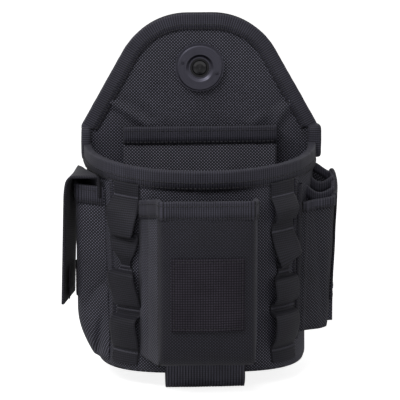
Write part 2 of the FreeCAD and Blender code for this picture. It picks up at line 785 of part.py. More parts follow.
def left_pocket():
    """The left side pocket and the tape on its lip."""
    low, top = float(size("left_pocket_low")), float(size("left_pocket_top"))
    sewn("left_pocket", pocket_shell(left_outline, LEFT_KNEES, low, top).cut(seam_room(-1)))

    def pocket_up_to(grow, high):
        return lofted(left_outline, grow, low, high, LEFT_KNEES)

    tape = lip_tape(pocket_up_to, float(FABRIC), top, float(size("pocket_tape_width")))
    tape = tape.cut(bag_form(float(GAP), -MARGIN, float(RIM)))
    sewn("left_pocket_binding", tape.cut(seam_room(-1)).cut(rim_tape_room()))


def seam_room(side):
    """The space that a side seam's ridge takes, with a layer gap round it."""
    low = float(size("tuck_height"))
    high = float(RIM)
    place_on_wall = wall_placement(side * float(size("seam_angle")), low, RIM_TAPE_LOW)
    gap = float(GAP)
    width = float(size("seam_width")) + 2 * gap
    return on_wall_block(place_on_wall, width, 0.0, float(size("seam_proud")) + gap, -low, high)


left_pocket()


# Shares of the right pocket's depth, from its back, where the two dividers stand.
DIVIDER_SHARES = {"right_pocket_rear_divider": 0.34, "right_pocket_front_divider": 0.66}


def right_pocket():
    """The right side pocket, whose lip slopes from back to front, and its two dividers."""
    low, front_top = float(size("right_pocket_low")), float(size("right_pocket_front_top"))
    top = float(size("right_pocket_back_top"))
    fabric, gap = float(FABRIC), float(GAP)
    back = on_wall(float(size("pocket_back_angle")), top).y
    front = on_wall(float(size("pocket_front_angle")), top).y
    reach = float(size("right_pocket_reach")) * 2
    above = top + MARGIN
    slope = [
        Vector(0, back, top),
        Vector(0, front, front_top),
        Vector(0, 2 * front, front_top),
        Vector(0, 2 * front, above),
        Vector(0, back, above),
    ]
    over_lip = Part.Face(Part.makePolygon(slope + slope[:1])).extrude(Vector(reach, 0, 0))
    shell = pocket_shell(right_outline, [], low, top).cut(over_lip)
    sewn("right_pocket", shell.cut(seam_room(1)))
    hollow = lofted(right_outline, -fabric - gap, low + fabric + gap, top - 3 * gap, [])
    hollow = hollow.cut(bag_form(gap, -MARGIN, float(RIM))).cut(over_lip).cut(rim_tape_room())
    for label, share in DIVIDER_SHARES.items():
        slab = Part.makeBox(reach, fabric, above, Vector(0, back + (front - back) * share, 0))
        sewn(label, hollow.common(slab))


right_pocket()


def right_band():
    """The webbing sewn down the outside of the right pocket."""
    low, top = float(size("side_band_low")), float(size("right_pocket_back_top"))
    gap, webbing = float(GAP), float(size("flap_thickness"))
    foot = float(size("right_pocket_low"))
    band = lofted(right_outline, gap + webbing, foot, top, [])
    band = band.cut(lofted(right_outline, gap, foot, top, [])).cut(block_below(low))
    width = float(size("side_band_width"))
    reach = float(size("right_pocket_foot_reach"))
    start = side_pocket_corner(low) + 2 * webbing
    window = Part.makeBox(reach, width, top, Vector(reach - 2 * webbing, start, 0))
    return band.common(window)


sewn("right_pocket_band", right_band())


# ---------------------------------------------------------------- the left pocket's flap
FOLD_Z = float(size("flap_hinge_height"))
FLAP_FRONT = -float(size("flap_front"))
FLAP_WIDTH = float(size("flap_width"))
FLAP_REACH = -float(size("flap_reach"))
FLAP_WEB = float(size("flap_thickness"))
HINGE_GAP = float(size("flap_hinge_gap"))


def fold_line():
    """Two points of the flap's fold line: a straight line just outside the bag's left wall."""
    angles = (-float(size("pocket_front_angle")), -float(size("pocket_back_angle")))
    front, back = [on_wall(angle, FOLD_Z) for angle in angles]
    along = (back - front).normalize()
    outward = Vector(0, 0, 1).cross(along)
    middle = on_wall(sum(angles) / 2, FOLD_Z)
    bulge = (middle - front).dot(outward)
    shift = outward * (bulge + float(size("flap_hinge_clearance")))
    return front + shift, back + shift, along, outward


def flap():
    """The flap leaves its fold line as a level roof, bends over and hangs outside the pocket."""
    front, back, along, outward = fold_line()
    low, high = FOLD_Z + HINGE_GAP, FOLD_Z + HINGE_GAP + FLAP_WEB
    radius = float(size("flap_fold_radius"))
    foot = float(size("flap_low"))
    block = Part.makeBox(
        -FLAP_REACH, FLAP_WIDTH, high - foot, Vector(FLAP_REACH, FLAP_FRONT, foot)
    )
    corner = [e for e in block.Edges if e.BoundBox.XMax < FLAP_REACH + 1 and e.BoundBox.ZMin > high - 1]
    block = block.makeFillet(radius, corner)
    hollow = Part.makeBox(
        -FLAP_REACH, FLAP_WIDTH, low - foot, Vector(FLAP_REACH + FLAP_WEB, FLAP_FRONT, foot)
    )
    corner = [
        e for e in hollow.Edges if e.BoundBox.XMax < FLAP_REACH + FLAP_WEB + 1 and e.BoundBox.ZMin > low - 1
    ]
    hollow = hollow.makeFillet(radius - FLAP_WEB, corner)
    hollow = hollow.fuse(hollow.translated(Vector(0, 0, -MARGIN)))
    width = float(size("rim_half_width")) * 2
    start, end = front - along * width, back + along * width
    beyond = [start, end, end - outward * width, start - outward * width]
    ground = [Vector(p.x, p.y, foot - MARGIN) for p in beyond + beyond[:1]]
    inside = Part.Face(Part.makePolygon(ground)).extrude(Vector(0, 0, high))
    sewn("flap", block.cut(hollow).cut(inside))


def flap_anchor():
    """The end of the flap's webbing that is sewn flat to the bag's side, up to the fold line."""
    gap, tape = float(GAP), float(TAPE)
    low, high = FOLD_Z - float(size("flap_anchor_height")), FOLD_Z - HINGE_GAP
    patch = bag_up_to(gap + float(size("flap_hinge_clearance")), float(RIM))
    patch = patch.cut(bag_up_to(gap, float(RIM))).cut(block_below(low))
    reach = -FLAP_REACH
    window = Part.makeBox(reach, FLAP_WIDTH, high, Vector(-reach, FLAP_FRONT + gap, 0))
    foot = float(size("left_pocket_low"))
    lip = float(size("left_pocket_top")) + tape + 2 * gap
    pocket = lofted(left_outline, tape + 2 * gap, foot, lip, LEFT_KNEES)
    inside = -float(FABRIC) - tape - 2 * gap
    pocket = pocket.cut(lofted(left_outline, inside, foot, lip + MARGIN, LEFT_KNEES))
    sewn("flap_anchor", patch.common(window).cut(pocket))


flap()
flap_anchor()
print("the flap's fold line in the pouch's coordinates:", fold_line()[:2])


def touch_tapes():
    """The hook tape on the flap's inner face and the loop tape on the pocket's outer face."""
    gap = float(GAP)
    height, tape = float(size("hook_tape_height")), float(size("hook_tape_thickness"))
    margin = float(size("touch_tape_margin"))
    low = float(size("flap_low")) + margin
    hooks = Part.makeBox(
        tape,
        FLAP_WIDTH - 2 * margin,
        height,
        Vector(FLAP_REACH + FLAP_WEB + gap, FLAP_FRONT + margin, low),
    )
    sewn("flap_hook_tape", hooks)
    foot = float(size("left_pocket_low"))
    loops = lofted(left_outline, gap + tape, foot, low + height, LEFT_KNEES)
    loops = loops.cut(lofted(left_outline, gap, foot, low + height + MARGIN, LEFT_KNEES))
    loops = loops.cut(block_below(low))
    reach = float(size("left_pocket_reach"))
    front = side_pocket_corner(low)
    window = Part.makeBox(
        4 * tape, -front / 2, height, Vector(-reach - 2 * tape, front + 2 * margin, low)
    )
    sewn("pocket_loop_tape", loops.common(window))


touch_tapes()


# ---------------------------------------------------------------- the ladders of webbing loops
# Shares of a ladder strap's length, from its lower end, where its bar tacks lie.
TACK_SHARES = {
    "left": (0.06, 0.296, 0.536, 0.708, 0.937),
    "right": (0.07, 0.303, 0.5, 0.73, 0.857),
}


def arch(width, start, end, bulge, thickness, base):
    """One loop of webbing between two tacks, standing off its base tape."""
    half = (end - start) / 2
    radius = (half * half + bulge * bulge) / (2 * bulge)
    middle = Vector(-width / 2, radius - bulge - base, (start + end) / 2)
    axis = Vector(1, 0, 0)
    loop = Part.makeCylinder(radius, width, middle, axis)
    loop = loop.cut(Part.makeCylinder(radius - thickness, width, middle, axis))
    outside = Part.makeBox(width, bulge, end - start, Vector(-width / 2, -base - bulge, start))
    return loop.common(outside)


def ladder(side_name, side):
    """Webbing sewn to the bag by bar tacks, with a loop standing off between each two tacks."""
    low = float(size("ladder_low"))
    high = RIM_TAPE_LOW - float(GAP)
    length = high - low
    tuck = float(size("tuck_height"))
    angle = side * float(size("ladder_angle"))
    place_on_wall = wall_placement(angle, tuck, high)
    foot = low - tuck
    width, tape = float(size("ladder_width")), float(size("ladder_tape"))
    gap = float(GAP)
    base = gap + tape
    tack = float(size("tack_height"))
    levels = [foot + share * length for share in TACK_SHARES[side_name]]
    webbing = Part.makeBox(width, tape, length, Vector(-width / 2, -base, foot))
    bulge = float(size("ladder_bulge"))
    for start, end in zip(levels, levels[1:]):
        webbing = webbing.fuse(arch(width, start + tack, end, bulge, tape, base))
    sewn(f"{side_name}_ladder", webbing.transformShape(place_on_wall.toMatrix(), True))
    tacks = []
    thread = float(size("tack_thickness"))
    for level in levels:
        corner = Vector(-width / 2, -base - thread, level + gap)
        tacks.append(Part.makeBox(width, thread, tack - 2 * gap, corner))
    bar_tacks = Part.makeCompound(tacks)
    sewn(f"{side_name}_bar_tacks", bar_tacks.transformShape(place_on_wall.toMatrix(), True))


ladder("left", -1)
ladder("right", 1)


# ---------------------------------------------------------------- the loop under the bag
def bottom_loop():
    """Wide webbing that leaves the front of the bag, turns under it and meets its bottom."""
    radius = float(size("loop_radius"))
    thickness = float(size("loop_thickness"))
    gap = float(GAP)
    top = float(size("loop_top"))
    fold = -float(size("loop_drop"))
    under = -float(FABRIC) - 2 * gap
    middle = on_wall(0.0, top).y - gap - thickness + radius
    edges = []
    ends = []
    for bend_radius in (radius, radius - thickness):
        start = Vector(0, middle - bend_radius, top)
        bend = Vector(0, middle - bend_radius, fold)
        lowest = Vector(0, middle, fold - bend_radius)
        back = Vector(0, middle + bend_radius, fold)
        end = Vector(0, middle + bend_radius, under)
        edges.append(Part.LineSegment(start, bend).toShape())
        edges.append(Part.Arc(bend, lowest, back).toShape())
        edges.append(Part.LineSegment(back, end).toShape())
        ends.append((start, end))
    for outer, inner in zip(*ends):
        edges.append(Part.LineSegment(outer, inner).toShape())
    face = Part.Face(Part.Wire(Part.__sortEdges__(edges)))
    width = float(size("loop_width"))
    face.translate(Vector(-width / 2, 0, 0))
    sewn("bottom_loop", face.extrude(Vector(width, 0, 0)))


bottom_loop()


# ---------------------------------------------------------------- the tabs on the bag's corners
TAB_ROUNDING = 0.4  # radius of a tab's corners as a share of its depth


def corner_tab(side_name, side):
    """Folded tape over the joint between the rim binding and the back panel's binding."""
    inner = max(float(RIM_HALF), float(size("shoulder_half_width"))) + float(TAPE) + 2 * float(GAP)
    height, depth = float(size("tab_height")), float(size("tab_depth"))
    thickness = float(size("tab_thickness"))
    top = float(size("shoulder_height")) - float(GAP)
    start = side * inner if side > 0 else -inner - thickness
    tab = Part.makeBox(thickness, depth, height, Vector(start, -float(BACK) - depth / 2, top - height))
    upright = [edge for edge in tab.Edges if abs(edge.tangentAt(edge.FirstParameter).x) > 0.9]
    sewn(f"{side_name}_corner_tab", tab.makeFillet(depth * TAB_ROUNDING, upright))


corner_tab("left", -1)
corner_tab("right", 1)


# ---------------------------------------------------------------- the hub
def turned(label, corners):
    """A piece turned about the hub's axis, from (radius, distance behind the back panel) pairs."""
    body = new_body(label, ZERO)
    profile = new_sketch(body, f"{label}_profile", "XY_Plane")
    draw_outline(profile, corners)
    turn = body.newObject("PartDesign::Revolution", f"{label}_turn")
    turn.Profile = profile
    turn.ReferenceAxis = (profile, ["V_Axis"])
    turn.Angle = 360.0
    body.Tip = turn
    return body


RING_REAR = -BACK - GAP - size("washer_thickness") - GAP
RING_FRONT = RING_REAR - size("hub_ring_thickness")
LIP_LEVEL = RING_FRONT + size("hub_lip_depth")
BARREL_FRONT = LIP_LEVEL + size("barrel_fit")
FLANGE_REAR = size("rear_flange_thickness")
SOCKET_END = FLANGE_REAR - size("socket_depth")
WEB_FRONT = SOCKET_END - size("web_thickness")


def hub_ring():
    """The front ring that screws onto the barrel, with a stepped opening and two spanner holes."""
    lip = size("hub_lip_radius")
    edge = size("hub_edge")
    outer = size("hub_ring_radius")
    bore = size("barrel_radius") + size("barrel_fit")
    body = turned(
        "hub_ring",
        [
            (bore, RING_REAR),
            (outer, RING_REAR),
            (outer, RING_FRONT + edge),
            (outer - edge, RING_FRONT),
            (size("hub_mouth_radius"), RING_FRONT),
            (lip, LIP_LEVEL - size("hub_lip_thickness")),
            (lip, LIP_LEVEL),
            (bore, LIP_LEVEL),
        ],
    )
    holes = new_sketch(body, "spanner_holes_outline", "XZ_Plane")
    bind(holes, "AttachmentOffset.Base.z", -RING_FRONT)
    turn = math.radians(float(size("spanner_angle")))
    circle = size("spanner_circle_radius")
    for side in (1.0, -1.0):
        x = circle * (side * math.cos(turn))
        z = circle * (side * math.sin(turn))
        draw_circle(holes, x, z, size("spanner_hole_radius"))
    pocket = body.newObject("PartDesign::Pocket", "spanner_holes")
    pocket.Profile = holes
    bind(pocket, "Length", size("spanner_hole_depth"))
    doc.recompute()
    if pocket.Shape.Volume >= body.Group[1].Shape.Volume:
        pocket.Reversed = True
    body.Tip = pocket


hub_ring()

turned(
    "hub_washer",
    [
        (size("barrel_radius") + size("barrel_fit"), -BACK - GAP),
        (size("washer_radius"), -BACK - GAP),
        (size("washer_radius"), -BACK - GAP - size("washer_thickness")),
        (size("barrel_radius") + size("barrel_fit"), -BACK - GAP - size("washer_thickness")),
    ],
)

turned(
    "hub_barrel",
    [
        (size("socket_radius"), FLANGE_REAR),
        (size("rear_flange_radius") - size("hub_edge"), FLANGE_REAR),
        (size("rear_flange_radius"), FLANGE_REAR - size("hub_edge")),
        (size("rear_flange_radius"), GAP),
        (size("barrel_radius"), GAP),
        (size("barrel_radius"), BARREL_FRONT),
        (size("chamber_radius"), BARREL_FRONT),
        (size("chamber_radius"), WEB_FRONT),
        (size("button_stem_radius") + size("button_play"), WEB_FRONT),
        (size("button_stem_radius") + size("button_play"), SOCKET_END),
        (size("socket_radius"), SOCKET_END),
    ],
)

BUSH_REAR = BARREL_FRONT + size("bush_thickness")
COLLAR_FRONT = BUSH_REAR + size("button_play")
COLLAR_REAR = COLLAR_FRONT + size("button_collar")
BUTTON_FRONT = BARREL_FRONT - size("hub_lip_depth") / 4

# The button's domed front: shares of its radius, and drops counted in running gaps.
BUTTON_DOME = ((0.55, 1.0), (0.9, 4.0), (1.0, 8.0))

turned(
    "button_bush",
    [
        (size("button_radius") + size("button_play"), BUSH_REAR),
        (size("chamber_radius") - size("barrel_fit"), BUSH_REAR),
        (size("chamber_radius") - size("barrel_fit"), BARREL_FRONT),
        (size("button_radius") + size("button_play"), BARREL_FRONT),
    ],
)

turned(
    "release_button",
    [
        (ZERO, BUTTON_FRONT),
        *[
            (size("button_radius") * share, BUTTON_FRONT + size("button_play") * drop)
            for share, drop in BUTTON_DOME
        ],
        (size("button_radius"), COLLAR_FRONT),
        (size("button_collar_radius"), COLLAR_FRONT),
        (size("button_collar_radius"), COLLAR_REAR),
        (size("button_stem_radius"), COLLAR_REAR),
        (size("button_stem_radius"), SOCKET_END - size("button_play") * 2),
        (ZERO, SOCKET_END - size("button_play") * 2),
    ],
)


def button_spring():
    """The coil spring between the barrel's web and the button's collar."""
    wire = float(size("spring_wire")) / 2
    clear = wire + float(size("barrel_fit"))
    start = float(COLLAR_REAR) + clear
    end = float(WEB_FRONT) - clear
    turns = float(size("spring_turns"))
    radius = float(size("spring_radius"))
    coil = Part.makeHelix((end - start) / turns, end - start, radius)
    section = Part.Wire(Part.makeCircle(wire, Vector(radius, 0, 0), Vector(0, 1, 0)))
    spring = Part.Wire(coil.Edges).makePipeShell([section], True, True)
    spring.rotate(Vector(0, 0, 0), Vector(1, 0, 0), -90)
    spring.translate(Vector(0, start, float(HUB_HEIGHT)))
    sewn("button_spring", spring)


button_spring()


# ---------------------------------------------------------------- checking and writing
doc.recompute()
for thing in doc.Objects:
    if "Invalid" in thing.State or "Error" in thing.State:
        raise RuntimeError(f"{thing.Name} failed: {thing.State}")
os.makedirs("parts", exist_ok=True)
for piece in subparts:
    shape = piece.Shape
    if shape.isNull() or not shape.isValid() or not shape.Solids:
        raise RuntimeError(f"{piece.Label} has no valid solid")
    shape.exportStep(f"parts/{piece.Label}.step")
    print(f"{piece.Label}: {len(shape.Solids)} solid(s), {shape.Volume:.0f} mm3")
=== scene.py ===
"""Electrician's tool pouch: a bag of woven nylon with pockets, webbing loops and a round belt hub.

Shapes are worked out in millimetres in the pouch's own coordinates: X to the right, Y = 0 at the
rear face of the back panel with the front towards -Y, and Z = 0 at the bottom of the bag.
"""

import json
import math

import bpy
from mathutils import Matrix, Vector, noise


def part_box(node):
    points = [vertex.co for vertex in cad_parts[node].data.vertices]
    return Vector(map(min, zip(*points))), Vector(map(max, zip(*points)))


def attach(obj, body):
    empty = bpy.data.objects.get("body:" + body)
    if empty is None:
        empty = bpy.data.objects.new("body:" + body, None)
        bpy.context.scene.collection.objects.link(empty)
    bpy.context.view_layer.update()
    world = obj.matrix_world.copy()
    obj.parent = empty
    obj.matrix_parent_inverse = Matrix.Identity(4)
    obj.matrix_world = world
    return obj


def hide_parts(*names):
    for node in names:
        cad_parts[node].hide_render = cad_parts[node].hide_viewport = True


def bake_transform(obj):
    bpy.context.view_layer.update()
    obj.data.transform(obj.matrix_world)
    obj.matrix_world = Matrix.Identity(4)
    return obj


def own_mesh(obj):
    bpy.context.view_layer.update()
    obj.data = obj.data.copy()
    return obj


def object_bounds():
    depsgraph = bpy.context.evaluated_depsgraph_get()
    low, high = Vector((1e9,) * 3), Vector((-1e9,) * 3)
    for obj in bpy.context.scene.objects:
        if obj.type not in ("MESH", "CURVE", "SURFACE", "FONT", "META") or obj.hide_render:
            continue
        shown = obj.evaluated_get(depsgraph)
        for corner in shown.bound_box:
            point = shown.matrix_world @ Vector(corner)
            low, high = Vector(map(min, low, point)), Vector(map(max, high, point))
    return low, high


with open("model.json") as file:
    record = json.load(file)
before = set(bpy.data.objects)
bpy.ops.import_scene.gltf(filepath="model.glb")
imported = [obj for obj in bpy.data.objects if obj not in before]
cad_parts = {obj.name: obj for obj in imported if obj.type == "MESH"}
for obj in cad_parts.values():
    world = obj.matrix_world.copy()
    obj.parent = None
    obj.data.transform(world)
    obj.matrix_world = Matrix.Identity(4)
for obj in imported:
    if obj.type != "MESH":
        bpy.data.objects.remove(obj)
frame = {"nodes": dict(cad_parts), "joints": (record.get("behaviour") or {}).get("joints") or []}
CAD_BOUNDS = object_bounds()

MM = 0.001
UP = Vector((0, 0, 1))
ORIGIN = Vector((0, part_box("back_panel_rear")[1].y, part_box("bag_wall")[0].z))


def to_row(point):
    """A point of the pouch, in millimetres, in the frame's metres."""
    return ORIGIN + point * MM


def node_box(node):
    """A CAD node's lowest and highest corners in the pouch's own millimetres."""
    low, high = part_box(node)
    return (low - ORIGIN) / MM, (high - ORIGIN) / MM


# ------------------------------------------------------------------ the back panel
# Two sheets of ballistic nylon with a stiff board between them, cut to a bell.  The nylon is woven
# two threads over two from filament yarn, so each crossing is a small pillow; the light on each
# pillow, the shade in the gaps and the sheen of one set of floats are painted into its colour.  The
# front sheet is a little loose and creases where the bag pulls on its shoulders.
FLOAT = 1.3  # one crossing of two threads over two
# The float colour is the painted lit crown of each pillow, the gap colour painted shade between them.
PANEL_FLOAT, PANEL_GAP_SHADE = "#7f7e90", "#020203"
CROWN_SETTLE = 2.4  # the cloth stands a little lower than the flat pattern
PANEL_TOP = node_box("back_panel_front")[1].z - CROWN_SETTLE
PANEL_FRONT = node_box("back_panel_front")[0].y
PANEL_FABRIC = 1.2
SHOULDER_HALF = node_box("back_panel_front")[1].x
SHOULDER_HEIGHT = 184.0
CROWN_HALF, CROWN_RADIUS = 10.0, 58.0
HUB_HEIGHT = -ORIGIN.z / MM
HUB_HOLE = 10.2
# The bag tucks in towards its foot, and the panel with it: height, half width and depth there.
TUCK_HEIGHT, TUCK_HALF, TUCK_DEPTH = 22.0, 84.5, 96.0
CROWN_STEPS = 18
EDGE_POINTS = 160
SHEET_INSET = 0.4  # the sheets end this far inside the binding's fold
DEEPEST_DENT = 0.9  # a deeper one would show the board
# (start, end, half width, depth) of each crease of the front sheet
PANEL_CREASES = (
    ((-72.0, 204.0), (-42.0, 184.0), 2.6, -2.4),
    ((-76.0, 199.0), (-48.0, 181.0), 3.0, 0.9),
    ((-60.0, 205.0), (-38.0, 190.0), 3.0, 0.8),
    ((76.0, 206.0), (62.0, 184.0), 2.6, -2.6),
    ((70.0, 208.0), (50.0, 184.0), 3.2, 0.9),
    ((64.0, 196.0), (42.0, 184.0), 3.4, -1.6),
    ((80.0, 196.0), (70.0, 184.0), 3.0, 0.8),
    ((-34.0, 209.0), (-27.0, 203.0), 9.0, 0.7),
)


def linear(hex_colour):
    """An sRGB hex colour as linear red, green, blue and alpha."""
    channels = [int(hex_colour[i : i + 2], 16) / 255 for i in (1, 3, 5)]
    return [c / 12.92 if c <= 0.04045 else ((c + 0.055) / 1.055) ** 2.4 for c in channels] + [1.0]


def add(tree, kind, inputs=None, **settings):
    """Adds a node with its settings, and joins its inputs (a node gives its first output) or sets them."""
    made = tree.nodes.new("ShaderNode" + kind)
    for name, value in settings.items():
        setattr(made, name, value)
    for name, value in (inputs or {}).items():
        if isinstance(value, bpy.types.Node):
            value = value.outputs[0]
        if isinstance(value, bpy.types.NodeSocket):
            tree.links.new(value, made.inputs[name])
        else:
            made.inputs[name].default_value = value
    return made


def finish_of(name, settings):
    """A new material, its shader and its node tree, with the constant finish on the shader."""
    material = bpy.data.materials.new(name)
    material.use_nodes = True
    tree = material.node_tree
    shader = tree.nodes["Principled BSDF"]
    for socket, value in settings.items():
        shader.inputs[socket].default_value = value
    return material, tree, shader


CLOTH_FINISH = {
    "Roughness": 0.62,
    "Specular IOR Level": 0.22,
    "Sheen Weight": 0.04,
    "Sheen Roughness": 0.5,
}


def ballistic_nylon(name, float_hex, gap_shade_hex):
    """Basket-woven filament nylon: pillows of thread, painted light on their crowns and painted shade in
    the gaps, with a painted sheen that makes one set of floats lighter than the other.
    """
    material, tree, shader = finish_of(name, CLOTH_FINISH)
    cloth = add(tree, "UVMap", uv_map="cloth")
    turns = math.pi / (FLOAT * MM)
    scaled = add(tree, "VectorMath", {0: cloth.outputs["UV"], "Scale": turns}, operation="SCALE")
    split = add(tree, "SeparateXYZ", {0: scaled})
    warp = add(tree, "Math", {0: split.outputs["X"]}, operation="SINE")
    weft = add(tree, "Math", {0: split.outputs["Y"]}, operation="SINE")
    crossing = add(tree, "Math", {0: warp, 1: weft}, operation="MULTIPLY")
    pillow = add(tree, "Math", {0: crossing}, operation="ABSOLUTE")
    # Painted sheen: floats of one direction are lighter than those of the other.
    side = add(
        tree,
        "MapRange",
        {"Value": crossing, "From Min": -0.4, "From Max": 0.4, "To Min": 0.06, "To Max": 1.0},
    )
    # Painted light and shade: each pillow is lit at its crown and darkens into the gaps.
    lit = add(tree, "Math", {0: pillow, 1: side}, operation="MULTIPLY")
    where = add(tree, "TexCoord")
    patches = add(
        tree,
        "TexNoise",
        {"Vector": where.outputs["Object"], "Scale": 24.0, "Detail": 3.0, "Roughness": 0.6},
    )
    faded = add(
        tree,
        "MapRange",
        {
            "Value": patches.outputs["Fac"],
            "From Min": 0.3,
            "From Max": 0.7,
            "To Min": 0.82,
            "To Max": 1.12,
        },
    )
    share = add(tree, "Math", {0: lit, 1: faded}, operation="MULTIPLY")
    colour = add(
        tree, "Mix", {"Factor": share, 6: linear(gap_shade_hex), 7: linear(float_hex)}, data_type="RGBA"
    )
    tree.links.new(colour.outputs[2], shader.inputs["Base Color"])
    bump = add(tree, "Bump", {"Height": pillow, "Strength": 0.7, "Distance": 0.35 * MM})
    tree.links.new(bump.outputs[0], shader.inputs["Normal"])
    return material


def in_scene(name, data):
    """An object in the scene that shows a mesh, light or camera."""
    made = bpy.data.objects.new(name, data)
    bpy.context.scene.collection.objects.link(made)
    return made


def mesh_piece(name, points, faces):
    """A smooth-shaded piece from points of the pouch, in millimetres, and faces."""
    mesh = bpy.data.meshes.new(name)
    mesh.from_pydata([to_row(p) for p in points], [], faces)
    mesh.polygons.foreach_set("use_smooth", [True] * len(mesh.polygons))
    return in_scene(name, mesh)


def lengths(points):
    """Distances along a line of points, from its first one."""
    found = [0.0]
    for start, end in zip(points, points[1:]):
        found.append(found[-1] + (end - start).length)
    return found


def cloth(name, rows, closed=False, caps=False, flat=None):
    """A sheet through rows of points, with its own cloth coordinates in metres as a UV map."""
    width = len(rows[0])
    faces = []
    across = []
    for row in rows:
        steps = lengths(row + row[:1]) if closed else lengths(row)
        middle = steps[width // 2]
        across.append([step - middle for step in steps])
    along = lengths([row[width // 2] for row in rows])
    marks = []
    for r in range(len(rows) - 1):
        for c in range(width if closed else width - 1):
            n = (c + 1) % width
            faces.append((r * width + c, r * width + n, (r + 1) * width + n, (r + 1) * width + c))
            marks += [
                (across[r][c], along[r]),
                (across[r][c + 1], along[r]),
                (across[r + 1][c + 1], along[r + 1]),
                (across[r + 1][c], along[r + 1]),
            ]
    if caps:
        last = (len(rows) - 1) * width
        faces.append(tuple(reversed(range(width))))
        faces.append(tuple(range(last, last + width)))
        marks += [(0.0, 0.0)] * (2 * width)
    points = [p for row in rows for p in row]
    piece = mesh_piece(name, points, faces)
    layer = piece.data.uv_layers.new(name="cloth")
    if flat:
        flat_marks = [flat(p) for p in points]
        marks = [flat_marks[loop.vertex_index] for loop in piece.data.loops]
    for loop, (u, v) in zip(layer.data, marks):
        loop.uv = (u * MM, v * MM)
    return piece


def thicken(piece, thickness):
    """Gives a sheet its thickness behind its outer face."""
    solidify = piece.modifiers.new("thickness", "SOLIDIFY")
    solidify.thickness = thickness * MM
    solidify.offset = -1.0


def dress(piece, material, slot, *nodes, body="pouch"):
    """Puts the material on a piece, joins it to its body and hides the nodes that it stands for."""
    piece.data.materials.append(material)
    if body:
        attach(piece, body)
    if nodes:
        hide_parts(*nodes)
    return piece


def rumple(point, size, height):
    """A soft unevenness of cloth, the same each time, of about this height in millimetres."""
    return noise.noise(point / size) * height


def bell_outline(grow, low=0.0):
    """Right half of the back panel's outline, from its foot to the crown."""
    crown = Vector((CROWN_HALF, 0, PANEL_TOP - CROWN_RADIUS))
    shoulder = Vector((SHOULDER_HALF, 0, SHOULDER_HEIGHT))
    to_crown = crown - shoulder
    slant = math.atan2(to_crown.z, to_crown.x) - math.asin(CROWN_RADIUS / to_crown.length)
    outward = Vector((math.sin(slant), 0, -math.cos(slant)))
    points = [wall_foot(low, grow), shoulder + outward * grow]
    if low == 0.0:
        points.insert(1, Vector((TUCK_HALF + grow, 0, TUCK_HEIGHT)))
    start = math.atan2(outward.z, outward.x)
    for step in range(CROWN_STEPS + 1):
        turn = start + (math.pi / 2 - start) * step / CROWN_STEPS
        points.append(crown + Vector((math.cos(turn), 0, math.sin(turn))) * (CROWN_RADIUS + grow))
    return points


def wall_foot(low, grow):
    """The outline's lowest point at a height on its straight lower part."""
    if low == 0.0:
        return Vector((node_box("bottom_panel")[1].x + grow, 0, 0))
    return Vector((SHOULDER_HALF + grow, 0, low))


def spaced(points, count):
    """The same line with a number of points at even distances."""
    steps = lengths(points)
    found = []
    segment = 0
    for index in range(count):
        target = steps[-1] * index / (count - 1)
        while segment < len(points) - 2 and steps[segment + 1] < target:
            segment += 1
        span = steps[segment + 1] - steps[segment]
        share = (target - steps[segment]) / span if span else 0.0
        found.append(points[segment].lerp(points[segment + 1], share))
    return found


def mirrored(points):
    """A line continued by its mirror image, back down the other side."""
    return points + [Vector((-p.x, p.y, p.z)) for p in reversed(points)]


def near_line(point, start, end):
    """Distance from a point of the panel to a line between two (x, z) places."""
    ahead = Vector(end) - Vector(start)
    offset = Vector((point.x, point.z)) - Vector(start)
    share = max(0.0, min(1.0, offset.dot(ahead) / ahead.length_squared))
    return (offset - ahead * share).length


def panel_face(point):
    """How far the front sheet's face stands behind (+) its highest places."""
    dent = 0.0
    for start, end, half, depth in PANEL_CREASES:
        dent += depth * math.exp(-((near_line(point, start, end) / half) ** 2))
    return min(DEEPEST_DENT, dent + rumple(point, 34.0, 0.45))


def panel_sheet(name, y, face, flip):
    """One sheet of the panel, in rings from its outline to the hole for the hub."""
    half = bell_outline(-SHEET_INSET)
    outline = spaced(mirrored(half) + half[:1], EDGE_POINTS + 1)[:-1]
    hub = Vector((0, 0, HUB_HEIGHT))
    rows = []
    shares = [0.0, 0.03, 0.06, 0.1] + [0.1 + 0.9 * step / 40 for step in range(1, 41)]
    for share in shares:
        row = []
        for edge in outline:
            hole = hub + (edge - hub).normalized() * HUB_HOLE
            place = edge.lerp(hole, share)
            calm = min(1.0, 4 * share) * min(1.0, (1.0 - share) * 3)
            row.append(Vector((place.x, y + face(place) * calm, place.z)))
        rows.append(row[::-1] if flip else row)
    piece = cloth(name, rows, closed=True, flat=lambda p: (p.x, p.z))
    thicken(piece, PANEL_FABRIC)
    return piece


panel_nylon = ballistic_nylon("ballistic_nylon_basket_woven", PANEL_FLOAT, PANEL_GAP_SHADE)
front_sheet = panel_sheet("back_panel_front_sheet", PANEL_FRONT, panel_face, False)
dress(front_sheet, panel_nylon, "ballistic_nylon", "back_panel_front")
rear_sheet = panel_sheet("back_panel_rear_sheet", 0.0, lambda p: rumple(p, 50.0, 0.3), True)
dress(rear_sheet, panel_nylon, "ballistic_nylon", "back_panel_rear")


# ------------------------------------------------------------------ the back panel's binding
# Grosgrain tape folded over the edge of all the panel's layers above the shoulders and sewn
# through.  Its filling threads make fine ribs across it, and its face is duller than the nylon.
TAPE = 0.9
TAPE_RIB = 1.8  # drawn coarser than the 0.6 mm of a real grosgrain, so that the ribs show
# The dark colour of the tape is painted shade in the valleys between its ribs.
TAPE_LIGHT, TAPE_VALLEY_SHADE = "#454450", "#070609"
PANEL_TAPE_WIDTH = 11.5
REARWARD = Vector((0, 1, 0))
THREAD = 0.5
STITCH, STITCH_PITCH = 2.3, 3.3
STITCH_SIDES = 6
BEAD_TURNS = [math.pi * (ring + 0.5) / 5 for ring in range(5)]  # from one end of a stitch to the other
THREAD_COLOUR = "#09080b"


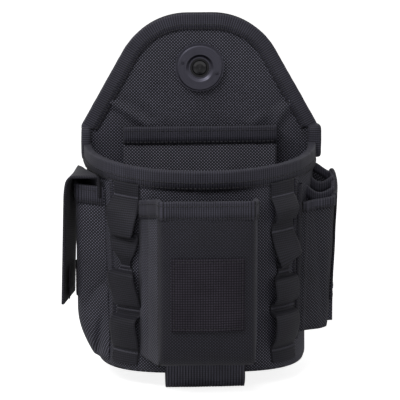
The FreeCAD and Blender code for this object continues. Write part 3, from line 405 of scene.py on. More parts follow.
def woven_tape(name, light_hex, valley_shade_hex, along, across, depth_mm, settings=CLOTH_FINISH):
    """Woven tape or webbing, with painted shade in the valleys between its ribs: (pitch in mm, strength)
    of its ribs along its length and over its width.
    """
    material, tree, shader = finish_of(name, settings)
    tape = add(tree, "UVMap", uv_map="cloth")
    split = add(tree, "SeparateXYZ", {0: tape.outputs["UV"]})
    heights = []
    for socket, (pitch, strength) in (("Y", along), ("X", across)):
        turn = add(
            tree, "Math", {0: split.outputs[socket], 1: math.pi / (pitch * MM)}, operation="MULTIPLY"
        )
        wave = add(tree, "Math", {0: turn}, operation="SINE")
        ridge = add(tree, "Math", {0: wave}, operation="ABSOLUTE")
        softened = add(tree, "MapRange", {"Value": ridge, "To Min": 1.0 - strength})
        heights.append(softened.outputs[0])
    weave = add(tree, "Math", {0: heights[0], 1: heights[1]}, operation="MULTIPLY")
    rounded_weave = add(tree, "Math", {0: weave, 1: 1.2}, operation="POWER")
    where = add(tree, "TexCoord")
    patches = add(tree, "TexNoise", {"Vector": where.outputs["Object"], "Scale": 60.0, "Detail": 2.0})
    worn = add(
        tree,
        "MapRange",
        {
            "Value": patches.outputs["Fac"],
            "From Min": 0.3,
            "From Max": 0.7,
            "To Min": 0.8,
            "To Max": 1.1,
        },
    )
    share = add(tree, "Math", {0: rounded_weave, 1: worn}, operation="MULTIPLY")
    # Painted shade: the colour darkens from each rib's crown into the valleys between ribs.
    colour = add(
        tree, "Mix", {"Factor": share, 6: linear(valley_shade_hex), 7: linear(light_hex)}, data_type="RGBA"
    )
    tree.links.new(colour.outputs[2], shader.inputs["Base Color"])
    bump = add(tree, "Bump", {"Height": rounded_weave, "Strength": 0.6, "Distance": depth_mm * MM})
    tree.links.new(bump.outputs[0], shader.inputs["Normal"])
    return material


def bonded_thread(name, colour_hex, light_hex):
    """Bonded nylon thread with a slight lustre and a fine mottle of its two plies."""
    material, tree, shader = finish_of(name, {"Roughness": 0.5, "Specular IOR Level": 0.4})
    where = add(tree, "TexCoord")
    ply = add(tree, "TexNoise", {"Vector": where.outputs["Object"], "Scale": 900.0, "Detail": 1.0})
    colour = add(
        tree,
        "Mix",
        {"Factor": ply.outputs["Fac"], 6: linear(colour_hex), 7: linear(light_hex)},
        data_type="RGBA",
    )
    tree.links.new(colour.outputs[2], shader.inputs["Base Color"])
    return material


grosgrain = woven_tape(
    "grosgrain_binding_tape", TAPE_LIGHT, TAPE_VALLEY_SHADE, (TAPE_RIB, 1.0), (TAPE_RIB, 0.25), 0.25
)
seam_thread = bonded_thread("bonded_nylon_thread", THREAD_COLOUR, "#1d1c22")


def folded_section(inside, width):
    """Section of tape folded over a lip: (distance past the lip, depth behind its face) pairs."""
    middle = inside / 2
    outer, inner = [], []
    for step in range(13):
        turn = math.pi * step / 12
        over = abs(math.sin(turn)) ** 0.7
        side = math.copysign(abs(math.cos(turn)) ** 0.7, math.cos(turn))
        outer.append(((TAPE + 0.9) * over, middle - (middle + TAPE + 0.15) * side))
        inner.append((0.7 * over, middle - (middle + 0.15) * side))
    outer = [(-width, outer[0][1]), (-width / 2, outer[0][1])] + outer
    outer += [(-width / 2, outer[-1][1]), (-width, outer[-1][1])]
    inner = [(-width, inner[0][1])] + inner + [(-width, inner[-1][1])]
    return outer + inner[::-1]


def heading(path, index):
    """The way a line runs at one of its points."""
    return path[min(index + 1, len(path) - 1)] - path[max(index - 1, 0)]


def lip_frames(path):
    """A frame at each point of a lip: its place, the way past its edge and the way into it."""
    return [(p, UP, UP.cross(heading(path, index)).normalized()) for index, p in enumerate(path)]


def lip_tape(name, frames, inside, width, pucker=0.25):
    """Tape folded over a lip, a little puckered by its stitches."""
    rows = []
    for place, past, into in frames:
        row = []
        for out, deep in folded_section(inside, width):
            loose = rumple(place + past * out, 5.0, pucker) + rumple(place, 30.0, pucker)
            side = -1.0 if deep < inside / 2 else 1.0
            row.append(place + past * (out + loose * 0.6) + into * (deep + side * abs(loose)))
        rows.append(row[::-1])
    return cloth(name, rows, closed=True, caps=True)


def ring_of(centre, side, out, swell, sides):
    """A small round of points about a place."""
    angles = [2 * math.pi * corner / sides for corner in range(sides)]
    return [centre + (side * math.cos(angle) + out * math.sin(angle)) * swell for angle in angles]


def add_bead(points, faces, rings):
    """Adds one closed bead of thread, from its rings of points, to a mesh's points and faces."""
    first, sides = len(points), len(rings[0])
    last = first + sides * (len(rings) - 1)
    for ring in rings:
        points += ring
    for start in range(first, last, sides):
        for corner in range(sides):
            a, b = start + corner, start + (corner + 1) % sides
            faces.append((a, b, b + sides, a + sides))
    faces.append(tuple(reversed(range(first, first + sides))))
    faces.append(tuple(range(last, last + sides)))


def stitch_row(name, path, outs):
    """A row of single stitches pulled a little into the cloth."""
    count = max(2, int(lengths(path)[-1] / STITCH_PITCH))
    places = spaced(path, count)
    points, faces = [], []
    for index, place in enumerate(places[:-1]):
        ahead = (places[index + 1] - place).normalized()
        out = outs[min(len(outs) - 1, int(index * len(outs) / count))]
        side = ahead.cross(out).normalized()
        rings = []
        for turn in BEAD_TURNS:
            centre = place - ahead * (STITCH / 2 * math.cos(turn))
            rings.append(ring_of(centre, side, out, THREAD * math.sin(turn), STITCH_SIDES))
        add_bead(points, faces, rings)
    return dress(mesh_piece(name, points, faces), seam_thread, "thread")


def stitch_lip(name, frames, down, lift):
    """Stitches a distance below a lip's edge, on the tape's outer face."""
    path = [place - past * down - into * lift for place, past, into in frames]
    return stitch_row(name, path, [-into for _, _, into in frames])


def bind_lip(place, frames, width, rows, lift, inside=PANEL_FABRIC, pucker=0.25):
    """Binds a lip with tape, and sews it in rows at distances below the lip's edge."""
    tape = lip_tape(f"{place}_binding_tape", frames, inside, width, pucker)
    dress(tape, grosgrain, "binding_tape", f"{place}_binding")
    for row, down in enumerate(rows):
        stitch_lip(f"{place}_stitches_{row}", frames, down, TAPE + lift)


bell = mirrored(bell_outline(0.0, SHOULDER_HEIGHT - 2.0))
bell_path = [Vector((p.x, PANEL_FRONT, p.z)) for p in spaced(bell, 150)][::-1]
panel_middle = Vector((0, PANEL_FRONT, HUB_HEIGHT - 40))
bell_frames = []
for index, point in enumerate(bell_path):
    past = heading(bell_path, index).cross(REARWARD).normalized()
    past = past if past.dot(point - panel_middle) > 0 else -past
    bell_frames.append((point, past, REARWARD))
bell_tape = lip_tape("back_panel_binding", bell_frames, -PANEL_FRONT, PANEL_TAPE_WIDTH)
dress(bell_tape, grosgrain, "binding_tape", "back_binding")
for row, down in enumerate((PANEL_TAPE_WIDTH - 1.2, PANEL_TAPE_WIDTH - 4.4)):
    stitch_lip(f"back_binding_stitches_{row}", bell_frames, down, TAPE + 0.2)


# ------------------------------------------------------------------ the bag
# The bag is one long piece of the same nylon, stiffened by a board and lined with plain nylon,
# that runs round from one edge of the back panel to the other and narrows to a soft bottom.
WALL_HEIGHT = node_box("bag_wall")[1].z
WALL_REAR = node_box("bag_wall")[1].y
BOTTOM_SIZES = (node_box("bottom_panel")[1].x + 6.5, -node_box("bottom_panel")[0].y + 1.5, 3.3)
TUCK_SIZES = (TUCK_HALF + 1.5, TUCK_DEPTH, 2.7)
RIM_SIZES = (node_box("bag_wall")[1].x, -node_box("bag_wall")[0].y, 2.1)
WALL_THICKNESS = 4.1
BOTTOM_ROLL = 2.4
RIM_SAG = 4.5  # the rim hangs lower in front than at the back panel


def on_wall(degrees, height, grow=0.0):
    """A point of the bag's outer face: 0 degrees is the middle of its front, + to the right."""
    if height < TUCK_HEIGHT:
        below, above, share = BOTTOM_SIZES, TUCK_SIZES, height / TUCK_HEIGHT
    else:
        below, above = TUCK_SIZES, RIM_SIZES
        share = (height - TUCK_HEIGHT) / (WALL_HEIGHT - TUCK_HEIGHT)
    half, depth, squareness = [a + share * (b - a) for a, b in zip(below, above)]
    turn = math.radians(degrees)
    across, ahead = math.sin(turn), max(0.0, math.cos(turn))
    x = (half + grow) * math.copysign(abs(across) ** (2 / squareness), across)
    y = WALL_REAR - (depth + WALL_REAR + grow) * ahead ** (2 / squareness)
    sag = (RIM_SAG * ahead ** 0.7 + 1.0) * max(0.0, height / WALL_HEIGHT) ** 4
    return Vector((x, y, height - sag))


def round_the_bag(height, grow=0.0, count=121):
    """A level line round the bag, from left to right, at even distances."""
    return spaced([on_wall(float(turn), height, grow) for turn in range(-90, 91)], count)


def wall_cloth(point):
    """The slack of the bag's cloth, outwards (+): it sags between its seams."""
    hang = math.sin(math.pi * min(1.0, max(0.0, point.z / WALL_HEIGHT)))
    return (rumple(point, 42.0, 1.1) + rumple(point, 18.0, 0.35)) * hang


def wall_rows():
    """The bag's wall in level rows, with its bottom edge rolled under."""
    rows = []
    for step in range(6):
        turn = math.pi / 2 * step / 5
        tuck = BOTTOM_ROLL * (1 - math.sin(turn))
        rows.append(round_the_bag(BOTTOM_ROLL * (1 - math.cos(turn)), -tuck))
    for step in range(1, 41):
        height = BOTTOM_ROLL + (WALL_HEIGHT - BOTTOM_ROLL) * step / 40
        row = round_the_bag(height)
        centre = Vector((0, WALL_REAR, height))
        rows.append([p + (p - centre).normalized() * wall_cloth(p) for p in row])
    return rows


def nylon_piece(name, rows, *nodes, material=panel_nylon):
    """A piece cut from ballistic nylon, through rows of points."""
    piece = cloth(name, rows)
    thicken(piece, PANEL_FABRIC)
    dress(piece, material, "ballistic_nylon", *nodes)


nylon_piece("bag_wall_outer_nylon", wall_rows(), "bag_wall")
lining_rows = [
    round_the_bag(2.0 + (WALL_HEIGHT - 2.0) * step / 30, -WALL_THICKNESS)[::-1] for step in range(31)
]
# The darker lining colour is painted shade between the threads.
LINING_LIGHT, LINING_VALLEY_SHADE = "#24232a", "#121115"
LINING_WEAVE = (1.3, 1.0)
plain_nylon = woven_tape(
    "plain_woven_nylon_lining", LINING_LIGHT, LINING_VALLEY_SHADE, LINING_WEAVE, LINING_WEAVE, 0.1
)
lining = cloth("bag_wall_lining_nylon", lining_rows)
dress(lining, plain_nylon, "smooth_nylon", "bag_wall_lining")
thicken(lining, PANEL_FABRIC * 0.8)


def stiff_board(name):
    """Pressed fibre board, dark grey, with a mottle of fibres."""
    material, tree, shader = finish_of(name, {"Roughness": 0.8})
    where = add(tree, "TexCoord")
    fibres = add(tree, "TexNoise", {"Vector": where.outputs["Object"], "Scale": 400.0, "Detail": 5.0})
    colour = add(
        tree,
        "Mix",
        {"Factor": fibres.outputs["Fac"], 6: linear("#1b1a1d"), 7: linear("#35343a")},
        data_type="RGBA",
    )
    tree.links.new(colour.outputs[2], shader.inputs["Base Color"])
    return material


fibre_board = stiff_board("pressed_fibre_board")
board_rows = [
    round_the_bag(3.0 + (WALL_HEIGHT - 3.5) * step / 30, -PANEL_FABRIC - 0.1) for step in range(31)
]
wall_board = cloth("bag_wall_board_sheet", board_rows)
thicken(wall_board, 1.3)
dress(wall_board, fibre_board, "stiff_board", "bag_wall_board")


def bottom_sheet(name, z, grow, sag, faces_down):
    """A sheet across the bag's bottom, in rings that almost meet at its middle."""
    edge = round_the_bag(0.0, grow, 61)
    rear = [edge[-1].lerp(edge[0], step / 20) for step in range(1, 20)]
    loop = [Vector((p.x, p.y, z)) for p in edge + rear]
    middle = Vector((0, -node_box("bottom_panel")[1].x / 2, z))
    rows = []
    for step in range(9):
        share = step / 8.01
        row = [p.lerp(middle, share) for p in loop]
        row = [p + UP * (sag * share + rumple(p, 30.0, 0.4) * min(1.0, 4 * share)) for p in row]
        rows.append(row[::-1] if faces_down else row)
    return cloth(name, rows, closed=True, flat=lambda p: (p.x, p.y))


UNDER_HEIGHT = node_box("bottom_panel")[0].z + 0.6
under = bottom_sheet("bag_bottom_outer_nylon", UNDER_HEIGHT, -BOTTOM_ROLL + 1.5, 0.0, True)
dress(under, panel_nylon, "ballistic_nylon", "bottom_panel")
thicken(under, PANEL_FABRIC)
LINING_HEIGHT = node_box("bottom_lining")[1].z
floor_lining = bottom_sheet(
    "bag_bottom_lining_nylon", LINING_HEIGHT, -WALL_THICKNESS - 1.5, -0.4, False
)
dress(floor_lining, plain_nylon, "smooth_nylon", "bottom_lining")
thicken(floor_lining, PANEL_FABRIC * 0.8)


# ------------------------------------------------------------------ the rim's binding
# The same grosgrain in a wider fold over the bag's rim, sewn with two rows of stitches.  The rim
# is thick, so the tape stands up round it and puckers between the stitches.
RIM_TAPE_WIDTH = node_box("rim_binding")[1].z - node_box("rim_binding")[0].z - 1.0
rim_path = round_the_bag(WALL_HEIGHT, 0.0, 170)
rim_frames = lip_frames(rim_path)
rim_rows = (RIM_TAPE_WIDTH - 1.6, RIM_TAPE_WIDTH - 6.0)
bind_lip("rim", rim_frames, RIM_TAPE_WIDTH, rim_rows, 0.5, WALL_THICKNESS, 0.4)


# ------------------------------------------------------------------ the side seams
# Where the front panel meets each side panel the two edges are turned out, bound together with
# tape and sewn, which leaves a flat ridge down the bag.
SEAM_ANGLE = 51.0
SEAM_RIDGE, SEAM_PROUD = 4.4, 1.7


def wall_frame(degrees, height):
    """A place on the wall with the ways along it, out of it and up it."""
    place = on_wall(degrees, height)
    along = (on_wall(degrees + 1.0, height) - on_wall(degrees - 1.0, height)).normalized()
    up = (on_wall(degrees, height + 2.0) - on_wall(degrees, height - 2.0)).normalized()
    return place, along, along.cross(up).normalized(), up


def ridge(name, degrees, low, high, width, proud):
    """A flat ridge of tape up the wall, rounded at its two edges."""
    rows = []
    for step in range(61):
        height = low + (high - low) * step / 60
        place, along, out, _ = wall_frame(degrees, height)
        sway = rumple(place, 25.0, 0.6)
        row = []
        for corner in range(13):
            turn = math.pi * corner / 12
            lift = proud * abs(math.sin(turn)) ** 0.5
            row.append(place + along * (sway - width / 2 * math.cos(turn)) + out * (lift - 0.3))
        rows.append(row)
    return cloth(name, rows)


for name, side in (("left", -1), ("right", 1)):
    seam_high = node_box(f"{name}_seam")[1].z
    angle = side * SEAM_ANGLE
    seam_piece = ridge(f"{name}_seam_ridge", angle, 6.0, seam_high + 1.0, SEAM_RIDGE, SEAM_PROUD)
    dress(seam_piece, grosgrain, "binding_tape", f"{name}_seam")
    stations = [wall_frame(angle, 8.0 + (seam_high - 8.0) * step / 40) for step in range(41)]
    path = [place + out * 1.5 + along * (side * -0.9) for place, along, out, _ in stations]
    stitch_row(f"{name}_seam_stitches", path, [out for _, _, out, _ in stations])


# ------------------------------------------------------------------ the pocket inside the bag
# A flat pocket of the same nylon sewn to the back panel, bound with tape along its lip, though its
# nylon is a copy painted lighter against the shade that falls inside the bag.  Its front bows a
# little away from the back panel.
INNER_LOW, INNER_HIGH = node_box("inner_pocket")
INNER_TAPE_WIDTH = 12.5


def inner_front(x, z):
    """Depth of the pocket's front at a place."""
    across = 1 - (x / INNER_HIGH.x) ** 2
    return INNER_LOW.y - 1.2 * across + rumple(Vector((x, 40.0, z)), 30.0, 0.8) * across


def inner_row(z, steps=48):
    """Level line round the pocket from the back panel at its left to that at its right."""
    half, rear = INNER_HIGH.x, INNER_HIGH.y
    front = [
        Vector((x, inner_front(x, z), z))
        for x in [-half + 2 * half * step / steps for step in range(steps + 1)]
    ]
    left = [Vector((-half, rear + (front[0].y - rear) * step / 4, z)) for step in range(4)]
    right = [Vector((half, front[-1].y + (rear - front[-1].y) * step / 4, z)) for step in range(1, 5)]
    return left + front + right


inner_rows = [
    inner_row(INNER_LOW.z + (INNER_HIGH.z - INNER_LOW.z) * step / 30) for step in range(31)
]
closing = [
    [Vector((p.x, INNER_HIGH.y + (p.y - INNER_HIGH.y) * share, INNER_LOW.z)) for p in inner_rows[0]]
    for share in (0.05, 0.5)
]
# A copy of the panel's nylon painted lighter, against the shade inside the bag.
inner_nylon_painted_lighter = ballistic_nylon("ballistic_nylon_inside_pocket_painted_lighter", "#9897a8", "#060608")
nylon_piece("inner_pocket_nylon", closing + inner_rows, "inner_pocket", material=inner_nylon_painted_lighter)
inner_frames = lip_frames(inner_row(INNER_HIGH.z, 80)[4:-4])
bind_lip("inner_pocket", inner_frames, INNER_TAPE_WIDTH, (1.6, INNER_TAPE_WIDTH - 1.6), 0.25)


# ------------------------------------------------------------------ the front pocket
# A box pocket: one puffed face of ballistic nylon whose soft edges turn back into two gussets that
# are sewn to the bag, with tape along its lip.  The face's nylon is a darker copy of the panel's,
# with its shade painted in.  The left gusset spreads and shows a crease.
FACE_LOW, FACE_HIGH = node_box("front_pocket_face")
FACE_LOW.z += 2.0
FACE_HALF = FACE_HIGH.x
FACE_TURN = 9.0
FACE_PUFF = 3.6
PUFF_FOOT, PUFF_TOP = 34.0, 40.0  # how far from its foot and lip the face reaches its full puff
ROLL_HEIGHT, ROLL_DEPTH = 20.0, 10.0  # the face's foot rolls back under the pocket
LEFT_ROOT, RIGHT_ROOT = -53.0, 41.0
GUSSET_DROP = 8.5  # a gusset's lip slopes down to the bag
GUSSET_SWAY = 1.6
GUSSET_CREASE, CREASE_SHARE, CREASE_WIDTH = 2.2, 0.55, 0.12  # depth in mm, place and width as shares
GUSSET_STEPS = 16
BEND_STEPS = 6
POCKET_TAPE_WIDTH = 13.0


def smooth_step(value):
    """0 below 0, 1 above 1 and a soft change between."""
    value = max(0.0, min(1.0, value))
    return value * value * (3 - 2 * value)


def face_depth(x, z):
    """How far the pocket's face stands behind the CAD face: its puff, and its rolled foot."""
    across = max(0.0, 1 - (x / FACE_HALF) ** 2) ** 0.6
    rise = smooth_step((z - FACE_LOW.z) / PUFF_FOOT) * smooth_step((FACE_HIGH.z + 6.0 - z) / PUFF_TOP)
    foot = max(0.0, 1 - (z - FACE_LOW.z) / ROLL_HEIGHT)
    roll = ROLL_DEPTH * (1 - math.sqrt(max(0.0, 1 - foot * foot)))
    slack = rumple(Vector((x, 9.0, z)), 26.0, 1.3) * across
    return roll - FACE_PUFF * across * rise + slack


def rounded(points, reach):
    """The same line with each corner turned into a soft bend."""
    found = [points[0]]
    for before, corner, after in zip(points, points[1:], points[2:]):
        cut = min(reach, (corner - before).length / 2, (after - corner).length / 2)
        start = corner + (before - corner).normalized() * cut
        end = corner + (after - corner).normalized() * cut
        for step in range(BEND_STEPS + 1):
            share = step / BEND_STEPS
            found.append(start.lerp(corner, share).lerp(corner.lerp(end, share), share))
    return found + [points[-1]]


def wall_y(x, z):
    """Where the bag's front wall stands at a place, by halving."""
    low, high = 0.0, 90.0
    for _ in range(24):
        middle = (low + high) / 2
        if on_wall(middle, z).x < abs(x):
            low = middle
        else:
            high = middle
    return on_wall(low, z).y


def face_row(z):
    """Level line across the pocket's face, round both its edges."""
    half, front = FACE_HALF, FACE_LOW.y
    corners = [
        Vector((-half - 1.2, front + FACE_TURN + 1.0, z)),
        Vector((-half, front, z)),
        Vector((half, front, z)),
        Vector((half + 0.6, front + FACE_TURN + 1.0, z)),
    ]
    line = spaced(rounded(corners, FACE_TURN), 61)
    near = [smooth_step((front + FACE_TURN - p.y) / FACE_TURN) for p in line]
    return [p + Vector((0, face_depth(p.x, z) * share, 0)) for p, share in zip(line, near)]


def gusset_row(side, z):
    """Level line along a gusset, from the face's edge to the bag's wall."""
    edge = face_row(z)[0 if side < 0 else -1]
    root_x = LEFT_ROOT if side < 0 else RIGHT_ROOT
    low = z - GUSSET_DROP * (z - FACE_LOW.z) / (FACE_HIGH.z - FACE_LOW.z)
    root = Vector((root_x, wall_y(root_x, low) + 0.6, low))
    line = []
    for step in range(GUSSET_STEPS + 1):
        share = step / GUSSET_STEPS
        place = edge.lerp(root, share)
        crease = GUSSET_CREASE * math.exp(-(((share - CREASE_SHARE) / CREASE_WIDTH) ** 2))
        sway = GUSSET_SWAY * math.sin(math.pi * share) - crease
        foot = smooth_step((z - FACE_LOW.z) / 24.0)
        line.append(place + Vector((side * sway * foot, 0, 0)) - Vector((side * 0.35, 0, 0)))
    return line if side > 0 else line[::-1]


pocket_heights = [FACE_LOW.z + (FACE_HIGH.z - FACE_LOW.z) * (step / 48) for step in range(49)]
# A darker copy of the panel's nylon: the face's shade is painted into its colour.
face_nylon_painted_darker = ballistic_nylon("ballistic_nylon_face_painted_darker", "#403f4d", "#0c0b11")
face_rows = [face_row(z) for z in pocket_heights]
nylon_piece("front_pocket_face_nylon", face_rows, "front_pocket_face", material=face_nylon_painted_darker)
for name, side, nodes in (("left", -1, ["front_pocket_gusset"]), ("right", 1, [])):
    nylon_piece(f"front_pocket_{name}_gusset", [gusset_row(side, z) for z in pocket_heights], *nodes)
foot_rows = []
for step in range(5):
    row = []
    for p in face_row(FACE_LOW.z):
        back = Vector((p.x, wall_y(p.x, FACE_LOW.z) + 0.6, FACE_LOW.z - 1.5))
        row.append(p.lerp(back, 1 - step / 4))
    foot_rows.append(row)
nylon_piece("front_pocket_underside", foot_rows)

left_lip, right_lip_line = gusset_row(-1, FACE_HIGH.z)[2:-1], gusset_row(1, FACE_HIGH.z)[1:-2]
lip_line = left_lip + face_row(FACE_HIGH.z) + right_lip_line
POCKET_STITCHES = (1.8, POCKET_TAPE_WIDTH - 1.6)
pocket_frames = lip_frames(spaced(lip_line, 120))
bind_lip("front_pocket", pocket_frames, POCKET_TAPE_WIDTH, POCKET_STITCHES, 0.3)


# ------------------------------------------------------------------ the patch on the front pocket
# Loop-side touch tape, dyed black: short nylon loops in rows on a woven ground, heat-cut to size
# and sewn down round its edge, so that it is pinched along the stitches.
PATCH_LOW, PATCH_HIGH = node_box("front_patch")
PATCH_LOW.z += 2.0
PATCH_HIGH.z += 4.0
PATCH_THICK = 1.9
PATCH_STEPS = 64
PINCH_INSET = 2.4  # the stitches run this far inside its edge
LOOP_ROWS = (2.0, 0.75)
NAP_FINISH = {"Roughness": 0.85, "Specular IOR Level": 0.15}
touch_tape = woven_tape(
    "touch_tape_loops", "#3e3a44", "#0a080b", LOOP_ROWS, LOOP_ROWS, 0.5, NAP_FINISH
)


def patch_point(x, z, lift):
    """A place on the pocket's face, lifted by a thickness."""
    return Vector((x, FACE_LOW.y + face_depth(x, z) - lift, z))


def patch_row(z):
    """Level line across the patch: it drops to the cloth at its edges and along its stitches."""
    row = []
    for step in range(PATCH_STEPS + 1):
        x = PATCH_LOW.x + (PATCH_HIGH.x - PATCH_LOW.x) * step / PATCH_STEPS
        inset = min(x - PATCH_LOW.x, PATCH_HIGH.x - x, z - PATCH_LOW.z, PATCH_HIGH.z - z)
        pinch = 0.7 * math.exp(-(((inset - PINCH_INSET) / 0.8) ** 2))
        lift = PATCH_THICK * min(1.0, max(0.0, inset / 0.6)) ** 0.5 - pinch
        row.append(patch_point(x, z, lift + 0.1))
    return row


patch_tall = PATCH_HIGH.z - PATCH_LOW.z
patch_rows = [patch_row(PATCH_LOW.z + patch_tall * step / PATCH_STEPS) for step in range(PATCH_STEPS + 1)]
patch = cloth("front_pocket_touch_patch", patch_rows, flat=lambda p: (p.x, p.z))
dress(patch, touch_tape, "touch_tape", "front_patch")
seam_left, seam_right = PATCH_LOW.x + PINCH_INSET, PATCH_HIGH.x - PINCH_INSET
seam_foot, seam_top = PATCH_LOW.z + PINCH_INSET, PATCH_HIGH.z - PINCH_INSET
seam_corners = [
    (seam_left, seam_foot),
    (seam_right, seam_foot),
    (seam_right, seam_top),
    (seam_left, seam_top),
]
for index, (x, z) in enumerate(seam_corners):
    end_x, end_z = seam_corners[(index + 1) % 4]
    path = []
    for step in range(21):
        path.append(patch_point(x + (end_x - x) * step / 20, z + (end_z - z) * step / 20, 1.3))
    stitch_row(f"patch_stitches_{index}", path, [-REARWARD] * len(path))


# ------------------------------------------------------------------ the left pocket
# A tall pocket folded from one piece of nylon and sewn to the bag's side, with a soft rounded foot
# and tape along its lip.  Its face creases where the foot turns in.
LEFT_LOW, LEFT_HIGH = node_box("left_pocket")
POCKET_FRONT_ANGLE, POCKET_BACK_ANGLE = 56.0, 80.0
SIDE_FRONT = 57.0
SIDE_BEND = 7.0
SIDE_STEPS = 56
LEFT_KNEE = 42.0
LEFT_FOOT_REACH, LEFT_KNEE_REACH, LEFT_REACH = 88.0, 101.0, -LEFT_LOW.x
# A crease beside the seam at the pocket's foot, and a slanting fold above it.
FOOT_CREASE_X, FOOT_CREASE_LEAN, FOOT_CREASE_HALF, FOOT_CREASE_DEPTH = 84.0, 0.12, 3.0, 4.0
SLANT_HEIGHT, SLANT_SLOPE, SLANT_HALF, SLANT_DEPTH = 62, 1.1, 6.0, 2.4


def side_front(height):
    """Depth of a side pocket's front corner, which comes back as the bag narrows."""
    depth = (on_wall(0.0, height) - on_wall(90.0, height)).y
    full = (on_wall(0.0, WALL_HEIGHT) - on_wall(90.0, WALL_HEIGHT)).y
    return -SIDE_FRONT * depth / full


def left_reach(height):
    """How far the left pocket stands from the pouch's middle at a height."""
    if height < LEFT_KNEE:
        share = (height - LEFT_LOW.z) / (LEFT_KNEE - LEFT_LOW.z)
        return LEFT_FOOT_REACH + (LEFT_KNEE_REACH - LEFT_FOOT_REACH) * math.sin(share * math.pi / 2)
    share = (height - LEFT_KNEE) / (LEFT_HIGH.z - LEFT_KNEE)
    return LEFT_KNEE_REACH + (LEFT_REACH - LEFT_KNEE_REACH) * share


def side_row(side, height, reach):
    """Level line round a side pocket, from its seam in front to inside the bag's wall behind."""
    back = on_wall(side * (POCKET_BACK_ANGLE + 1.0), height, -1.5)
    seam = on_wall(side * POCKET_FRONT_ANGLE, height, 0.8)
    near = Vector((side * reach, side_front(height), height))
    far = Vector((side * reach, back.y, height))
    return spaced(rounded([seam, near, far, back], SIDE_BEND), SIDE_STEPS + 1)


def on_front(place, height):
    """1 on a side pocket's front, 0 on its side and a soft change between."""
    return smooth_step((side_front(height) + 8.0 - place.y) / 6.0)


def side_pocket(name, side, rows, low, material):
    """A side pocket's sheet from its rows, closed by a foot that starts under the bag's wall."""
    middle = on_wall(side * (POCKET_FRONT_ANGLE + POCKET_BACK_ANGLE) / 2, low)
    foot = [[middle.lerp(p, share) - UP * (1.0 - share) for p in rows[0]] for share in (0.05, 0.4, 0.75)]
    nylon_piece(f"{name}_nylon", foot + rows, name, material=material)


def left_row(height):
    """The left pocket's line with its slack: it sags at its foot and creases beside the seam."""
    row = []
    for p in side_row(-1, height, left_reach(height))[::-1]:
        slack = rumple(p, 28.0, 1.4) + rumple(p, 12.0, 0.5)
        off_crease = p.x + FOOT_CREASE_X - FOOT_CREASE_LEAN * (p.z - 20)
        crease = FOOT_CREASE_DEPTH * math.exp(-((off_crease / FOOT_CREASE_HALF) ** 2))
        crease *= smooth_step((50 - p.z) / 30)
        off_fold = p.z - SLANT_HEIGHT - SLANT_SLOPE * (p.x + FOOT_CREASE_X)
        fold = SLANT_DEPTH * math.exp(-((off_fold / SLANT_HALF) ** 2))
        fold *= smooth_step((p.x + 100) / 12)
        front = on_front(p, height)
        inward = (crease + fold - slack * 0.6) * front
        row.append(p + Vector((-slack * 0.4 * (1 - front), inward, 0)))
    return row


left_heights = [LEFT_LOW.z + (LEFT_HIGH.z - LEFT_LOW.z) * (step / 56) for step in range(57)]
left_rows = [left_row(height) for height in left_heights]
side_pocket("left_pocket", -1, left_rows, LEFT_LOW.z, panel_nylon)
left_frames = lip_frames(left_row(LEFT_HIGH.z)[1:-1])
bind_lip("left_pocket", left_frames, POCKET_TAPE_WIDTH, POCKET_STITCHES, 0.3)


# ------------------------------------------------------------------ the left pocket's flap
# One strip of heavy webbing: its end is sewn flat to the bag's side under the rim, it folds out
# over the pocket's mouth and hangs down outside it, where touch tape holds it shut.
FLAP_LOW, FLAP_HIGH = node_box("flap")
FLAP_LOW.z += 4.0
ANCHOR_LOW = node_box("flap_anchor")[0]
FLAP_THICK = 2.0
FLAP_BEND = 12.0
FLAP_SPREAD = 4.0
FLAP_LEAN = 2.6  # its lower end stands further out
FOLD_RADIUS, BEND_RADIUS = 2.5, 9.0
PAD_INSET = 3.0  # the pads end this far above the webbing's lower end
PAD_STEPS = 24
heavy_webbing = woven_tape("heavy_nylon_webbing", "#32313b", "#08070a", (1.8, 0.9), (1.8, 0.6), 0.3)
hinge = next(joint for joint in frame["joints"] if joint["name"] == "flap_hinge")
HINGE_ALONG = Vector(hinge["axis"])
HINGE_MIDDLE = (Vector(hinge["pos_m"]) - ORIGIN) / MM
HINGE_OUT = UP.cross(HINGE_ALONG).normalized()


def flap_line(share):
    """The webbing's line from its sewn end to its lower end, at a share of its width from the front."""
    y = FLAP_LOW.y + (FLAP_HIGH.y - FLAP_LOW.y) * share
    on_fold = HINGE_MIDDLE + HINGE_ALONG * ((y - HINGE_MIDDLE.y) / HINGE_ALONG.y)
    roof = FLAP_HIGH.z
    reach = FLAP_LOW.x + 2.4 - FLAP_SPREAD * (1 - share) + FLAP_SPREAD * 1.4 * share
    down = on_fold - HINGE_OUT * 0.4 + UP * (ANCHOR_LOW.z - on_fold.z)
    points = [
        down,
        on_fold - HINGE_OUT * 0.2 - UP * 3.0,
        Vector((on_fold.x, y, roof)) + HINGE_OUT * 1.2,
        Vector((reach + FLAP_BEND * 0.2, y, roof)),
        Vector((reach, y, roof - FLAP_BEND)),
        Vector((reach - FLAP_LEAN, y - 0.5, FLAP_LOW.z)),
    ]
    return rounded(points[:3], FOLD_RADIUS) + rounded(points[2:], BEND_RADIUS)[1:]


